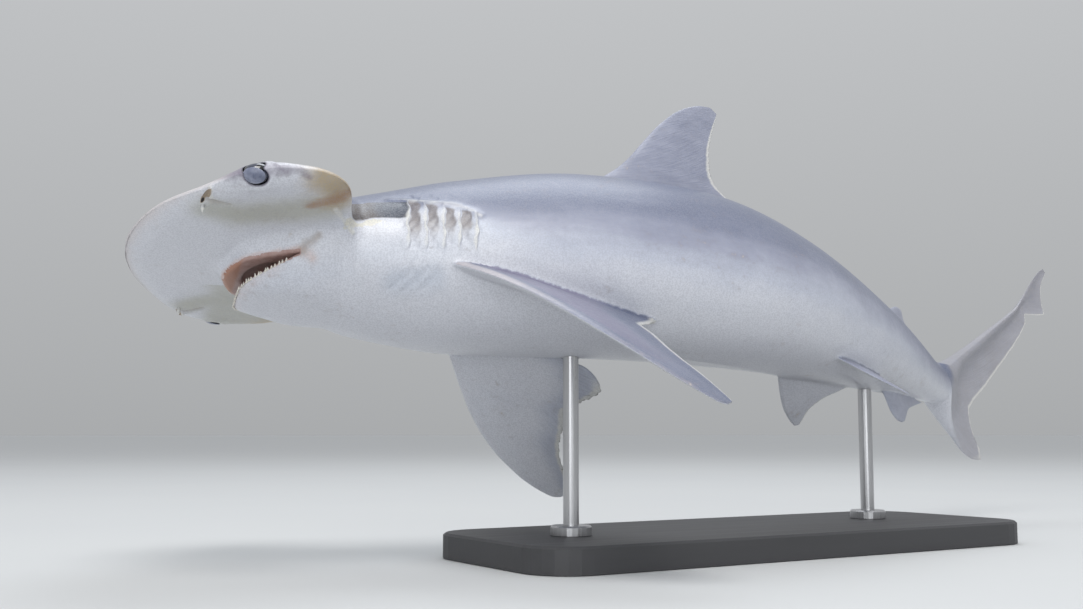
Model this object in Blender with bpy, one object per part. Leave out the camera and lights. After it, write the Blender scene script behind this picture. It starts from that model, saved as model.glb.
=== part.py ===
import math

import bmesh
import bpy
import numpy as np
from mathutils import Vector

# A bonnethead, the smallest hammerhead, as a life-size museum model that swims
# in a bend, held on a plain stand. Metres, +Z up, the snout towards -X and the
# shark's left side towards -Y. Everything is set out along a straight shark
# first: s runs back from the snout, a to its left, h towards its back.

LENGTH = 1.0
SNOUT = (-0.415, 0.065, 0.186)
GAP = 0.0003

# the swimming bend: heading, pitch and bank of the backbone in degrees
BEND_AT = (0.0, 0.13, 0.22, 0.34, 0.46, 0.58, 0.70, 0.80, 1.0)
HEADING = (-11.0, -11.0, -22.5, -9.5, 12.0, 19.0, 27.0, 15.0, -14.0)
PITCH = (0.0, 0.0, 1.0, -4.5, -9.5, -10.5, -7.0, 0.5, 12.5)
BANK_AT = (0.0, 0.13, 0.30, 0.50, 0.75, 1.0)
BANK = (17.5, 17.5, 15.5, 12.5, 6.0, 6.0)

# the body's height above and below the backbone and its half width
BODY_AT = (0.0, 0.05, 0.10, 0.125, 0.15, 0.20, 0.28, 0.36, 0.45, 0.55, 0.65, 0.72, 0.76)
BODY_TOP = (0.006, 0.0150, 0.0270, 0.0340, 0.0405, 0.0516, 0.0600, 0.0602, 0.0510, 0.0372,
            0.0252, 0.0190, 0.0176)
BODY_LOW = (0.006, 0.0150, 0.0360, 0.0430, 0.0487, 0.0565, 0.0590, 0.0572, 0.0510, 0.0402,
            0.0272, 0.0200, 0.0182)
BODY_HALF = (0.020, 0.034, 0.0450, 0.0485, 0.0520, 0.0575, 0.0580, 0.0553, 0.0460, 0.0331,
             0.0211, 0.0150, 0.0122)
BODY_EGG = 0.22
AROUND = 44

# the hammer: half width of its outline seen from above
HAMMER_AT = (0.0045, 0.0047, 0.0052, 0.0068, 0.0105, 0.0175, 0.0265, 0.037, 0.047, 0.058, 0.070,
             0.082, 0.094, 0.104, 0.112, 0.117, 0.120, 0.1225, 0.126, 0.132, 0.150)
HAMMER_HALF = (0.0, 0.006, 0.012, 0.021, 0.035, 0.0515, 0.0665, 0.0800, 0.0905, 0.0990, 0.1040,
               0.1058, 0.1050, 0.1015, 0.0950, 0.0865, 0.0775, 0.0670, 0.0575, 0.0518, 0.0520)
KEEL_DEEP = 0.0135
KEEL_HALF = 0.048
RIM_DEEP = 0.0135
RIM_THICK = 0.0082
RIM_DROOP = 0.003
HAMMER_ENDS = 0.118
NECK_STARTS = 0.136

# the jaws: a bulge under the hammer, opened by a wedge hinged at the corners
BULGE_AT = (0.050, 0.056, 0.059, 0.0616, 0.0645, 0.068, 0.0732, 0.0793, 0.0871, 0.097,
            0.120, 0.150)
BULGE_LOW = (0.0, 0.0130, 0.0170, 0.0240, 0.0305, 0.0325, 0.0337, 0.0348, 0.0362, 0.0382,
             0.0425, 0.0487)
BULGE_HALF = (0.005, 0.0065, 0.0090, 0.0165, 0.0235, 0.0285, 0.0318, 0.0350, 0.0380, 0.0420,
              0.0475, 0.0520)
MOUTH_CORNER = (0.0980, -0.0160)
UPPER_SLOPE = 0.03
LOWER_SLOPE = 0.445
JAW_BACK = 0.108
# how far from the midline the lines of points run that follow the jaws underneath
UNDER_AT = (0.0045, 0.010, 0.020, 0.035, 0.050, 0.0595, 0.0645, 0.0705, 0.080, 0.090, 0.100,
            0.112, 0.118, 0.1225, 0.126, 0.150)
UNDER_HALF = (0.002, 0.018, 0.030, 0.034, 0.029, 0.0195, 0.0250, 0.0310, 0.0365, 0.0400, 0.0440,
              0.0490, 0.0500, 0.0410, 0.0357, 0.0322)
UNDER_SHARE = 0.62
TOOTH_TALL = 0.0017
TOOTH_WIDE = 0.0018
TEETH_A_SIDE = 16

EYE_AT = (0.064, 0.0970, -0.0030)
EYE_RADIUS = 0.0067
LID_THICK = 0.0006
NOSTRIL_AT = (0.0390, 0.0775, -0.0070)

# where one piece of the body ends and the next begins
HEAD_END = 0.150
THROAT_END = 0.212
TRUNK_END = 0.585
STOCK_END = 0.738

GILLS = (0.161, 0.174, 0.1865, 0.1975, 0.2085)
GILL_DEEP = 0.0017
GILL_MIDDLE = -0.003
GILL_TALL = 0.021

BASE_SIZE = (0.42, 0.15, 0.016)
ROD_AT = (0.275, 0.560)
ROD_RADIUS = 0.005
FOOT_RADIUS = 0.013
FOOT_TALL = 0.006


def curve(at, value, s):
    """Smooth curve through the knots that never overshoots them."""
    x = np.asarray(at, float)
    y = np.asarray(value, float)
    s = np.clip(np.asarray(s, float), x[0], x[-1])
    h = np.diff(x)
    d = np.diff(y) / h
    m = np.empty(len(x))
    m[0] = d[0]
    m[-1] = d[-1]
    same = d[:-1] * d[1:] > 0
    w1 = 2 * h[1:] + h[:-1]
    w2 = h[1:] + 2 * h[:-1]
    mean = (w1 + w2) / (w1 / np.where(same, d[:-1], 1) + w2 / np.where(same, d[1:], 1))
    m[1:-1] = np.where(same, mean, 0)
    i = np.clip(np.searchsorted(x, s, side="right") - 1, 0, len(x) - 2)
    t = (s - x[i]) / h[i]
    ends = (1 + 2 * t) * (1 - t) ** 2 * y[i] + t * t * (3 - 2 * t) * y[i + 1]
    return ends + t * (1 - t) ** 2 * h[i] * m[i] + t * t * (t - 1) * h[i] * m[i + 1]


def ramp(x, low, high):
    t = np.clip((x - low) / (high - low), 0, 1)
    return t * t * (3 - 2 * t)


def backbone():
    """Points and axes of the bent backbone, one for each 2 mm of length."""
    s = np.linspace(0, 1, 501)
    heading = np.radians(curve(BEND_AT, HEADING, s))
    pitch = np.radians(curve(BEND_AT, PITCH, s))
    bank = np.radians(curve(BANK_AT, BANK, s))
    level = np.cos(pitch)
    back = np.stack([level * np.cos(heading), level * np.sin(heading), np.sin(pitch)], 1)
    step = (back[1:] + back[:-1]) / 2 * np.diff(s)[:, None]
    point = np.concatenate([np.zeros((1, 3)), np.cumsum(step, 0)]) + np.array(SNOUT)
    up = np.array([0, 0, 1.0]) - back * back[:, 2:]
    up /= np.linalg.norm(up, axis=1)[:, None]
    left = np.cross(up, -back)
    c = np.cos(bank)[:, None]
    n = np.sin(bank)[:, None]
    return s, point, back, c * left + n * up, c * up - n * left


SPINE_S, SPINE_POINT, SPINE_BACK, SPINE_LEFT, SPINE_UP = backbone()


def along(table, s):
    return np.stack([np.interp(s, SPINE_S, table[:, k]) for k in range(3)], -1)


def place(points):
    """Straight-shark coordinates (s, a, h) to where they lie on the bent one."""
    p = np.atleast_2d(np.asarray(points, float))
    s = np.clip(p[:, 0], 0, 1)
    over = (p[:, 0] - s)[:, None]
    base = along(SPINE_POINT, s) + over * along(SPINE_BACK, s)
    return base + p[:, 1:2] * along(SPINE_LEFT, s) + p[:, 2:3] * along(SPINE_UP, s)


def turned(origin_s, points):
    """Coordinates along the back, left and up axes at one station, unbent."""
    p = np.atleast_2d(np.asarray(points, float))
    s = np.array([origin_s])
    axes = np.stack([along(SPINE_BACK, s)[0], along(SPINE_LEFT, s)[0], along(SPINE_UP, s)[0]])
    return along(SPINE_POINT, s)[0] + p @ axes


def outline_distance(s, a):
    """How far inside the hammer's outline a point of the head lies."""
    line_s = HAMMER_AT[0] + np.linspace(0, 1, 260) ** 1.6 * (0.126 - HAMMER_AT[0])
    line_a = curve(HAMMER_AT, HAMMER_HALF, line_s)
    gap = np.hypot(s[..., None] - line_s, np.abs(a)[..., None] - line_a)
    return gap.min(-1)


def soft_max(x, y, k):
    return (x + y + np.sqrt((x - y) ** 2 + k * k) - k) / 2


def skin(s, turn, grow=0.0):
    """(a, h) of the body's surface at station s and angle turn round it."""
    c = np.cos(turn)
    n = np.sin(turn)
    half = curve(BODY_AT, BODY_HALF, s)
    top = curve(BODY_AT, BODY_TOP, s)
    low = curve(BODY_AT, BODY_LOW, s)
    body_a = half * c * (1 - BODY_EGG * n)
    body_h = np.where(n > 0, top, low) * n
    wide = curve(HAMMER_AT, HAMMER_HALF, s)
    head_a = wide * c
    line = curve(UNDER_AT, UNDER_HALF, s)
    near = line * np.abs(c) / UNDER_SHARE
    far = line + (wide - line) * (np.abs(c) - UNDER_SHARE) / (1 - UNDER_SHARE)
    head_a = np.where(n < 0, np.sign(c) * np.where(np.abs(c) < UNDER_SHARE, near, far), head_a)
    inside = outline_distance(s, head_a)
    rim = np.sqrt(1 - (1 - np.clip(inside / RIM_DEEP, 0, 1)) ** 2)
    near_eye = np.exp(-(((s - EYE_AT[0]) / 0.016) ** 2) - ((np.abs(head_a) - 0.1) / 0.014) ** 2)
    blade = (RIM_THICK + 0.0018 * near_eye) * rim
    crown = top * np.sqrt(np.clip(1 - (head_a / (half + 0.012)) ** 2, 0, 1)) * rim
    bulge_low = curve(BULGE_AT, BULGE_LOW, s)
    bulge_half = curve(BULGE_AT, BULGE_HALF, s)
    boxy = 5 - 2.4 * ramp(s, 0.09, 0.125)
    bulge = bulge_low * np.sqrt(np.clip(1 - np.abs(head_a / bulge_half) ** boxy, 0, 1))
    keel = np.minimum(low * 0.8, KEEL_DEEP) * np.sqrt(np.clip(1 - (head_a / KEEL_HALF) ** 2, 0, 1)) * rim
    under = soft_max(soft_max(blade, keel, 0.004), bulge * ramp(s, 0.048, 0.054), 0.004)
    over = soft_max(blade, crown, 0.004)
    head_h = np.where(n > 0, over, -under) * (np.abs(n) > 1e-6)
    droop = RIM_DROOP * np.exp(-(((s - 0.036) / 0.018) ** 2)) * (head_a / 0.075) ** 2
    head_h = head_h - droop
    mix = ramp(s, HAMMER_ENDS, NECK_STARTS)
    a = head_a + (body_a - head_a) * mix
    h = head_h + (body_h - head_h) * mix
    flap = gill_lift(s, h, a)
    size = np.hypot(a, h) + 1e-9
    return a * (1 + (flap + grow) / size), h * (1 + (flap + grow) / size)


def gill_lift(s, h, a):
    """The five gill flaps, each rising backwards and dropping off at its slit."""
    lift = np.zeros(np.shape(s))
    for k, slit in enumerate(GILLS):
        front = slit - 0.0105
        lift = np.where((s > front) & (s <= slit), GILL_DEEP * ((s - front) / 0.0105 - 0.45), lift)
    tail = (s > GILLS[-1]) & (s < GILLS[-1] + 0.004)
    lift = np.where(tail, -0.45 * GILL_DEEP * (1 - (s - GILLS[-1]) / 0.004), lift)
    tall = np.clip(1 - ((h - GILL_MIDDLE) / GILL_TALL) ** 2, 0, 1)
    return lift * np.sqrt(tall) * (np.abs(a) > 0.02)


def new_object(name, points, faces, smooth=True):
    mesh = bpy.data.meshes.new(name)
    mesh.from_pydata([tuple(p) for p in points], [], faces)
    made = bmesh.new()
    made.from_mesh(mesh)
    bmesh.ops.recalc_face_normals(made, faces=made.faces[:])
    if made.calc_volume(signed=True) < 0:
        bmesh.ops.reverse_faces(made, faces=made.faces[:])
    made.to_mesh(mesh)
    made.free()
    for face in mesh.polygons:
        face.use_smooth = smooth
    obj = bpy.data.objects.new(name, mesh)
    bpy.context.scene.collection.objects.link(obj)
    return obj


def boolean(obj, other, operation, solver="EXACT"):
    """Applies one Boolean and keeps the largest closed surface it leaves."""
    step = obj.modifiers.new(operation, "BOOLEAN")
    step.operation = operation
    step.solver = solver
    step.object = other
    bpy.context.view_layer.update()
    graph = bpy.context.evaluated_depsgraph_get()
    mesh = bpy.data.meshes.new_from_object(obj.evaluated_get(graph))
    obj.modifiers.clear()
    obj.data = mesh
    made = bmesh.new()
    made.from_mesh(mesh)
    bmesh.ops.remove_doubles(made, verts=made.verts[:], dist=0.000004)
    bmesh.ops.dissolve_degenerate(made, edges=made.edges[:], dist=0.000004)
    left = set(made.faces)
    pieces = []
    while left:
        todo = [left.pop()]
        piece = set(todo)
        while todo:
            for edge in todo.pop().edges:
                for face in edge.link_faces:
                    if face in left:
                        left.remove(face)
                        piece.add(face)
                        todo.append(face)
        pieces.append(piece)
    keep = max(pieces, key=lambda piece: sum(face.calc_area() for face in piece))
    spare = [face for face in made.faces if face not in keep]
    bmesh.ops.delete(made, geom=spare, context="FACES")
    made.to_mesh(mesh)
    made.free()
    return obj


def drop(*helpers):
    for helper in helpers:
        bpy.data.objects.remove(helper, do_unlink=True)


def body_rings(stations, grow=0.0, around=AROUND):
    turn = np.arange(around) / around * 2 * math.pi
    rings = []
    for s in stations:
        a, h = skin(np.full(around, s), turn, grow)
        rings.append(np.stack([np.full(around, s), a, h], 1))
    return rings


def tube(name, rings, nose=None):
    """Closed loft through rings, with flat ends, or with a point at the nose."""
    count = len(rings[0])
    points = place(np.concatenate(rings))
    faces = []
    for r in range(len(rings) - 1):
        for i in range(count):
            j = (i + 1) % count
            faces.append((r * count + i, r * count + j, (r + 1) * count + j, (r + 1) * count + i))
    last = (len(rings) - 1) * count
    faces.append(tuple(last + i for i in range(count)))
    if nose is None:
        faces.append(tuple(range(count)))
    else:
        points = np.concatenate([points, place(nose)])
        for i in range(count):
            faces.append((i, (i + 1) % count, len(points) - 1))
    return new_object(name, points, faces)


def prism(name, profile, half):
    """A slab across the shark whose (s, h) outline is the profile."""
    count = len(profile)
    left = [(s, half, h) for s, h in profile]
    right = [(s, -half, h) for s, h in profile]
    faces = [tuple(range(count)), tuple(range(count, 2 * count))]
    for i in range(count):
        j = (i + 1) % count
        faces.append((i, j, count + j, count + i))
    return new_object(name, place(left + right), faces, smooth=False)


def ball(name, centre, radii, around=20, rings=12):
    """An ellipsoid set out in straight-shark coordinates."""
    points = [(centre[0] - radii[0], centre[1], centre[2])]
    for r in range(1, rings):
        slope = math.pi * r / rings
        for i in range(around):
            turn = 2 * math.pi * i / around
            s = centre[0] - radii[0] * math.cos(slope)
            a = centre[1] + radii[1] * math.sin(slope) * math.cos(turn)
            h = centre[2] + radii[2] * math.sin(slope) * math.sin(turn)
            points.append((s, a, h))
    points.append((centre[0] + radii[0], centre[1], centre[2]))
    end = len(points) - 1
    faces = []
    for i in range(around):
        j = (i + 1) % around
        faces.append((0, 1 + i, 1 + j))
        faces.append((end, end - around + i, end - around + j))
        for r in range(rings - 2):
            low = 1 + r * around
            faces.append((low + i, low + j, low + around + j, low + around + i))
    return new_object(name, place(points), faces)


def coat(obj, colour, rough, metal=0.0):
    """Gives an object its own plain surface finish."""
    material = bpy.data.materials.new(obj.name)
    material.use_nodes = True
    surface = material.node_tree.nodes["Principled BSDF"]
    surface.inputs["Base Color"].default_value = (*colour, 1)
    surface.inputs["Roughness"].default_value = rough
    surface.inputs["Metallic"].default_value = metal
    obj.data.materials.clear()
    obj.data.materials.append(material)


for old in list(bpy.data.objects):
    bpy.data.objects.remove(old, do_unlink=True)

BACK_GREY = (0.25, 0.27, 0.33)
FLANK_GREY = (0.50, 0.51, 0.55)
BELLY_WHITE = (0.66, 0.66, 0.62)
MOUTH_PINK = (0.35, 0.19, 0.17)

# Stations of the body's rings, closer where the shape turns quickly.
HEAD_STATIONS = (0.0049, 0.0056, 0.0068, 0.0090, 0.0125, 0.017, 0.023, 0.030, 0.038, 0.046, 0.052,
                 0.0552, 0.0572, 0.0588, 0.0600, 0.0612, 0.0625, 0.0640, 0.0662, 0.0700, 0.0745,
                 0.080, 0.0855, 0.091, 0.0965, 0.102, 0.1065, 0.110, 0.1130, 0.1155, 0.1175,
                 0.1193, 0.1209, 0.1224, 0.124, 0.126, 0.129, 0.133, 0.138, 0.144)
HEAD_AROUND = 56
THROAT_STATIONS = []
for slit in GILLS:
    THROAT_STATIONS += [slit - 0.0102, slit - 0.005, slit - 0.0002]
THROAT_STATIONS += [GILLS[-1] + 0.0003, GILLS[-1] + 0.0018]
TRUNK_STATIONS = list(np.linspace(THROAT_END, TRUNK_END, 27)[1:-1])
STOCK_STATIONS = list(np.linspace(TRUNK_END, STOCK_END, 10)[1:-1])


def section(start, end, inner):
    return [start + GAP / 2] + list(inner) + [end - GAP / 2]


swollen_at = list(HEAD_STATIONS) + [HEAD_END] + THROAT_STATIONS + [THROAT_END]
swollen_at += TRUNK_STATIONS + [TRUNK_END] + STOCK_STATIONS + [STOCK_END, 0.76]
swollen = tube("body with clearance", body_rings(swollen_at[8:], GAP))

# Head: the hammer, the neck and the upper jaw, with the mouth cut out under it.
head_rings = body_rings(list(HEAD_STATIONS) + [HEAD_END - GAP / 2], 0.0, HEAD_AROUND)
head = tube("head", head_rings, nose=(0.0045, 0.0, 0.0))

mouth_s, mouth_h = MOUTH_CORNER
front = 0.045
upper_front = mouth_h - UPPER_SLOPE * (mouth_s - front)
lower_front = mouth_h - LOWER_SLOPE * (mouth_s - front)
jaw_block = prism("jaw block", [
    (mouth_s, mouth_h), (front, lower_front), (front, -0.08), (JAW_BACK, -0.08),
    (JAW_BACK, mouth_h),
], 0.08)
jaw_room = prism("jaw room", [
    (mouth_s, mouth_h + GAP), (front, upper_front), (front, -0.08), (JAW_BACK + GAP, -0.08),
    (JAW_BACK + GAP, mouth_h + GAP),
], 0.08)
hollow = ball("mouth hollow", (0.0875, 0.0, -0.0195), (0.019, 0.024, 0.0095), 24, 12)

lower_jaw = new_object("lower_jaw", [v.co[:] for v in head.data.vertices],
                       [tuple(f.vertices) for f in head.data.polygons])
boolean(lower_jaw, jaw_block, "INTERSECT")
boolean(lower_jaw, hollow, "DIFFERENCE")
boolean(head, jaw_room, "DIFFERENCE")
boolean(head, hollow, "DIFFERENCE")
drop(jaw_block, jaw_room, hollow)


def lip_station(a):
    """Where the lower jaw's flat top meets the skin, found along the midline."""
    low = 0.059
    high = mouth_s
    for _ in range(30):
        middle = (low + high) / 2
        half = float(curve(BULGE_AT, BULGE_HALF, middle))
        deep = float(curve(BULGE_AT, BULGE_LOW, middle)) * math.sqrt(max(0.0, 1 - abs(a / half) ** 5))
        if deep > -(mouth_h - LOWER_SLOPE * (mouth_s - middle)):
            high = middle
        else:
            low = middle
    return (low + high) / 2


# The teeth stand at even steps along the lower lip, their roots sunk in the jaw.
lip_a = np.linspace(0, 0.0375, 60)
lip_s = np.array([lip_station(a) for a in lip_a])
lip_way = np.concatenate([[0], np.cumsum(np.hypot(np.diff(lip_a), np.diff(lip_s)))])
for k in range(-TEETH_A_SIDE, TEETH_A_SIDE + 1):
    run = abs(k) / TEETH_A_SIDE * lip_way[-1] * 0.93
    a = math.copysign(float(np.interp(run, lip_way, lip_a)), k)
    s = lip_station(a)
    ahead = Vector((lip_station(a + 0.001) - lip_station(a - 0.001), 0.002)).normalized()
    inward = Vector((ahead.y, -ahead.x))
    centre = Vector((s, a)) + inward * 0.0016
    tall = TOOTH_TALL * (1 - 0.25 * abs(k) / TEETH_A_SIDE)
    root = -0.0013
    corners = []
    for u, v in ((-1, -0.5), (1, -0.5), (1, 0.5), (-1, 0.5)):
        corner = centre + ahead * u * TOOTH_WIDE / 2 + inward * v * TOOTH_WIDE * 0.8
        corners.append((corner.x, corner.y, mouth_h - LOWER_SLOPE * (mouth_s - corner.x) + root))
    tip = centre + inward * 0.0003
    corners.append((tip.x, tip.y, mouth_h - LOWER_SLOPE * (mouth_s - tip.x) + tall))
    sides = [(0, 1, 2, 3), (0, 1, 4), (1, 2, 4), (2, 3, 4), (3, 0, 4)]
    tooth = new_object("tooth", place(corners), sides, False)
    boolean(lower_jaw, tooth, "UNION", "MANIFOLD")
    drop(tooth)
coat(head, FLANK_GREY, 0.42)
coat(lower_jaw, BELLY_WHITE, 0.42)

# Nostrils: a slit across the front edge of each side of the hammer, with a small flap.
for side in (1, -1):
    centre = (NOSTRIL_AT[0], side * NOSTRIL_AT[1], NOSTRIL_AT[2])
    slit = ball("nostril slit", centre, (0.0016, 0.0068, 0.0058), 14, 8)
    boolean(head, slit, "DIFFERENCE")
    at = (centre[0] + 0.0012, side * 0.0692, -0.0098)
    flap = ball("nostril flap", at, (0.0011, 0.0018, 0.0028), 8, 6)
    boolean(head, flap, "UNION")
    drop(slit, flap)

# Eyes on the ends of the hammer, each in a socket, with a slanting lid.
for side, word in ((1, "left"), (-1, "right")):
    centre = (EYE_AT[0], side * EYE_AT[1], EYE_AT[2])
    room = EYE_RADIUS + LID_THICK + 2 * GAP
    socket = ball("socket", centre, (room, room, room), 18, 12)
    boolean(head, socket, "DIFFERENCE")
    eye = ball("eye_" + word, centre, (EYE_RADIUS, EYE_RADIUS, EYE_RADIUS), 16, 10)
    coat(eye, (0.035, 0.045, 0.09), 0.12)
    outer = EYE_RADIUS + GAP + LID_THICK
    inner = EYE_RADIUS + GAP
    lid = ball("eyelid_" + word, centre, (outer, outer, outer), 16, 10)
    hole = ball("lid hole", centre, (inner, inner, inner), 16, 10)
    box = []
    for reach in (0.001, 0.02):
        for ds, dh in ((-0.02, -0.02), (0.002, -0.02), (0.0055, 0.02), (-0.02, 0.02)):
            box.append((centre[0] + ds, centre[1] + side * reach, centre[2] + dh))
    walls = [(0, 1, 2, 3), (4, 5, 6, 7), (0, 1, 5, 4), (1, 2, 6, 5), (2, 3, 7, 6), (3, 0, 4, 7)]
    keep = new_object("lid side", place(box), walls, False)
    boolean(lid, keep, "INTERSECT")
    boolean(lid, hole, "DIFFERENCE")
    coat(lid, (0.16, 0.18, 0.27), 0.2)
    drop(socket, hole, keep)

# Throat with the gill flaps, trunk and tail stock.
throat = tube("throat", body_rings(section(HEAD_END, THROAT_END, THROAT_STATIONS)))
coat(throat, FLANK_GREY, 0.42)
trunk = tube("trunk", body_rings(section(THROAT_END, TRUNK_END, TRUNK_STATIONS)))
coat(trunk, FLANK_GREY, 0.42)
tail_stock = tube("tail_stock", body_rings(section(TRUNK_END, STOCK_END, STOCK_STATIONS)))
coat(tail_stock, FLANK_GREY, 0.42)


def foil(name, rows, thick, edge, where, chord=9, tail=False):
    """A fin through rows of (front x, front y, rear x, rear y), thin at its rear edge."""
    rings = []
    spread = (1 - np.cos(np.linspace(0, 1, chord) * math.pi * 0.5)) ** 0.85
    if tail:
        spread = (1 - np.cos(np.linspace(0, 1, chord) * math.pi)) / 2
    for v, (x0, y0, x1, y1) in enumerate(rows):
        share = v / (len(rows) - 1)
        x = x0 + (x1 - x0) * spread
        y = y0 + (y1 - y0) * spread
        length = math.hypot(x1 - x0, y1 - y0)
        profile = np.minimum(1, spread / 0.28) ** 0.5 * np.clip(1 - spread, 0, 1) ** 0.9 * 1.35
        most = min(thick * (1 - 0.72 * share), length * 0.09) / 2
        half = most * np.minimum(profile, 1) + edge / 2 * np.minimum(1, spread / 0.05)
        if tail:
            round_half = np.sqrt(np.clip(1 - (2 * spread - 1) ** 2, 0, 1)) * thick / 2
            column = thick / 2 * (1 - ramp(share, 0.0, 1.0)) ** 1.3
            broad = 0.16 + 0.25 * (1 - share) ** 6
            ridge = column * np.exp(-(((spread - 0.16 + 0.1 * share) / broad) ** 2))
            ridge = ridge * np.minimum(1, spread / 0.04) ** 0.5
            blade = ridge + edge / 2 * np.minimum(1, spread / 0.03)
            near = ramp(share, 0.0, 0.14)
            half = round_half * (1 - near) + blade * near
            half[0] = 0
        rings.append((x, y, half))
    count = 2 * chord - 1
    points = []
    for x, y, half in rings:
        ring = [(x[0], y[0], 0.0)]
        for i in range(1, chord):
            ring.append((x[i], y[i], half[i]))
        for i in range(chord - 1, 0, -1):
            ring.append((x[i], y[i], -half[i]))
        points += ring
    faces = []
    for r in range(len(rings) - 1):
        for i in range(count):
            j = (i + 1) % count
            here, there = r * count, (r + 1) * count
            if i < chord - 1:
                faces.append((here + i, here + j, there + j))
                faces.append((here + i, there + j, there + i))
            else:
                faces.append((here + i, here + j, there + i))
                faces.append((here + j, there + j, there + i))
    faces.append(tuple(range(count)))
    faces.append(tuple((len(rings) - 1) * count + i for i in range(count)))
    return new_object(name, where(np.array(points)), faces)


def upright(points):
    """Fins of the midline: x runs along s, y along h."""
    return place(np.stack([points[:, 0], points[:, 2], points[:, 1]], 1))


FIRST_DORSAL = (
    (0.282, 0.046, 0.384, 0.044), (0.2895, 0.0570, 0.3930, 0.0560), (0.2985, 0.0635, 0.4080, 0.0600),
    (0.3085, 0.0705, 0.4000, 0.0655), (0.3190, 0.0805, 0.3880, 0.0730), (0.3310, 0.0955, 0.3838, 0.0845),
    (0.3450, 0.1120, 0.3845, 0.0985), (0.3590, 0.1247, 0.3875, 0.1105), (0.3700, 0.1312, 0.3915, 0.1215),
    (0.3800, 0.1350, 0.3945, 0.1285), (0.3885, 0.1363, 0.3957, 0.1325))
SECOND_DORSAL = (
    (0.597, 0.020, 0.650, 0.016), (0.6035, 0.0320, 0.6640, 0.0235), (0.6120, 0.0365, 0.6880, 0.0238),
    (0.6215, 0.0407, 0.7000, 0.0232), (0.6300, 0.0440, 0.6830, 0.0285), (0.6370, 0.0466, 0.6690, 0.0312),
    (0.6440, 0.0480, 0.6610, 0.0350), (0.6500, 0.0482, 0.6573, 0.0405), (0.6535, 0.0470, 0.6560, 0.0440))
ANAL = (
    (0.577, -0.022, 0.640, -0.016), (0.5825, -0.0345, 0.6520, -0.0255), (0.5876, -0.0390, 0.6750, -0.0258),
    (0.5925, -0.0445, 0.6900, -0.0248), (0.5975, -0.0495, 0.6720, -0.0292),
    (0.6050, -0.0530, 0.6513, -0.0338), (0.6125, -0.0542, 0.6400, -0.0395),
    (0.6190, -0.0540, 0.6330, -0.0455), (0.6240, -0.0525, 0.6285, -0.0498))
CAUDAL = (
    (0.7383, 0.0176, 0.7383, -0.0187), (0.7425, 0.0178, 0.7488, -0.0324), (0.7455, 0.0179, 0.7694, -0.0475),
    (0.7485, 0.0180, 0.7880, -0.0601), (0.7520, 0.0183, 0.8066, -0.0668), (0.7570, 0.0190, 0.8215, -0.0682),
    (0.7640, 0.0203, 0.8218, -0.0600), (0.7730, 0.0225, 0.8155, -0.0480), (0.7830, 0.0250, 0.8115, -0.0340),
    (0.7950, 0.0283, 0.8118, -0.0235), (0.8120, 0.0334, 0.8226, -0.0147), (0.8380, 0.0416, 0.8496, -0.0010),
    (0.8640, 0.0505, 0.8757, 0.0144), (0.8860, 0.0580, 0.9009, 0.0296), (0.9060, 0.0650, 0.9219, 0.0440),
    (0.9230, 0.0715, 0.9345, 0.0560), (0.9300, 0.0755, 0.9368, 0.0640), (0.9380, 0.0810, 0.9500, 0.0618),
    (0.9471, 0.0871, 0.9640, 0.0600), (0.9560, 0.0935, 0.9648, 0.0700), (0.9650, 0.0995, 0.9680, 0.0847),
    (0.9740, 0.1042, 0.9745, 0.0940), (0.9800, 0.1058, 0.9822, 0.1010))
PECTORAL = (
    (-0.018, -0.014, 0.050, -0.015), (-0.012, -0.002, 0.066, -0.0150), (-0.0050, 0.0080, 0.0835, -0.0140),
    (-0.0008, 0.0145, 0.0960, -0.0070), (0.0035, 0.0225, 0.1006, 0.0015), (0.0080, 0.0310, 0.0965, 0.0085),
    (0.0135, 0.0405, 0.0885, 0.0178), (0.0200, 0.0515, 0.0825, 0.0268), (0.0275, 0.0620, 0.0850, 0.0395),
    (0.0365, 0.0725, 0.0858, 0.0526), (0.0470, 0.0822, 0.0895, 0.0665), (0.0590, 0.0905, 0.0945, 0.0755),
    (0.0720, 0.0978, 0.0982, 0.0825), (0.0850, 0.1022, 0.1010, 0.0885), (0.0930, 0.1036, 0.1030, 0.0930),
    (0.0985, 0.1018, 0.1040, 0.0962))
PELVIC = (
    (-0.004, -0.012, 0.050, -0.016), (0.0005, -0.006, 0.064, -0.0125), (0.0050, -0.0008, 0.0781, -0.0068),
    (0.0095, 0.0048, 0.0862, -0.0022), (0.0150, 0.0112, 0.0800, 0.0044), (0.0215, 0.0185, 0.0670, 0.0105),
    (0.0290, 0.0258, 0.0580, 0.0184), (0.0365, 0.0315, 0.0540, 0.0260), (0.0430, 0.0357, 0.0535, 0.0325),
    (0.0480, 0.0383, 0.0530, 0.0372))

for name, rows, thick in (
    ("first_dorsal_fin", FIRST_DORSAL, 0.0105),
    ("second_dorsal_fin", SECOND_DORSAL, 0.005),
    ("anal_fin", ANAL, 0.005),
):
    fin = foil(name, rows, thick, 0.0007, upright)
    boolean(fin, swollen, "DIFFERENCE")
    coat(fin, BACK_GREY, 0.42)
caudal = foil("caudal_fin", CAUDAL, 2 * 0.0137, 0.0008, upright, 12, tail=True)
coat(caudal, BACK_GREY, 0.42)

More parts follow.
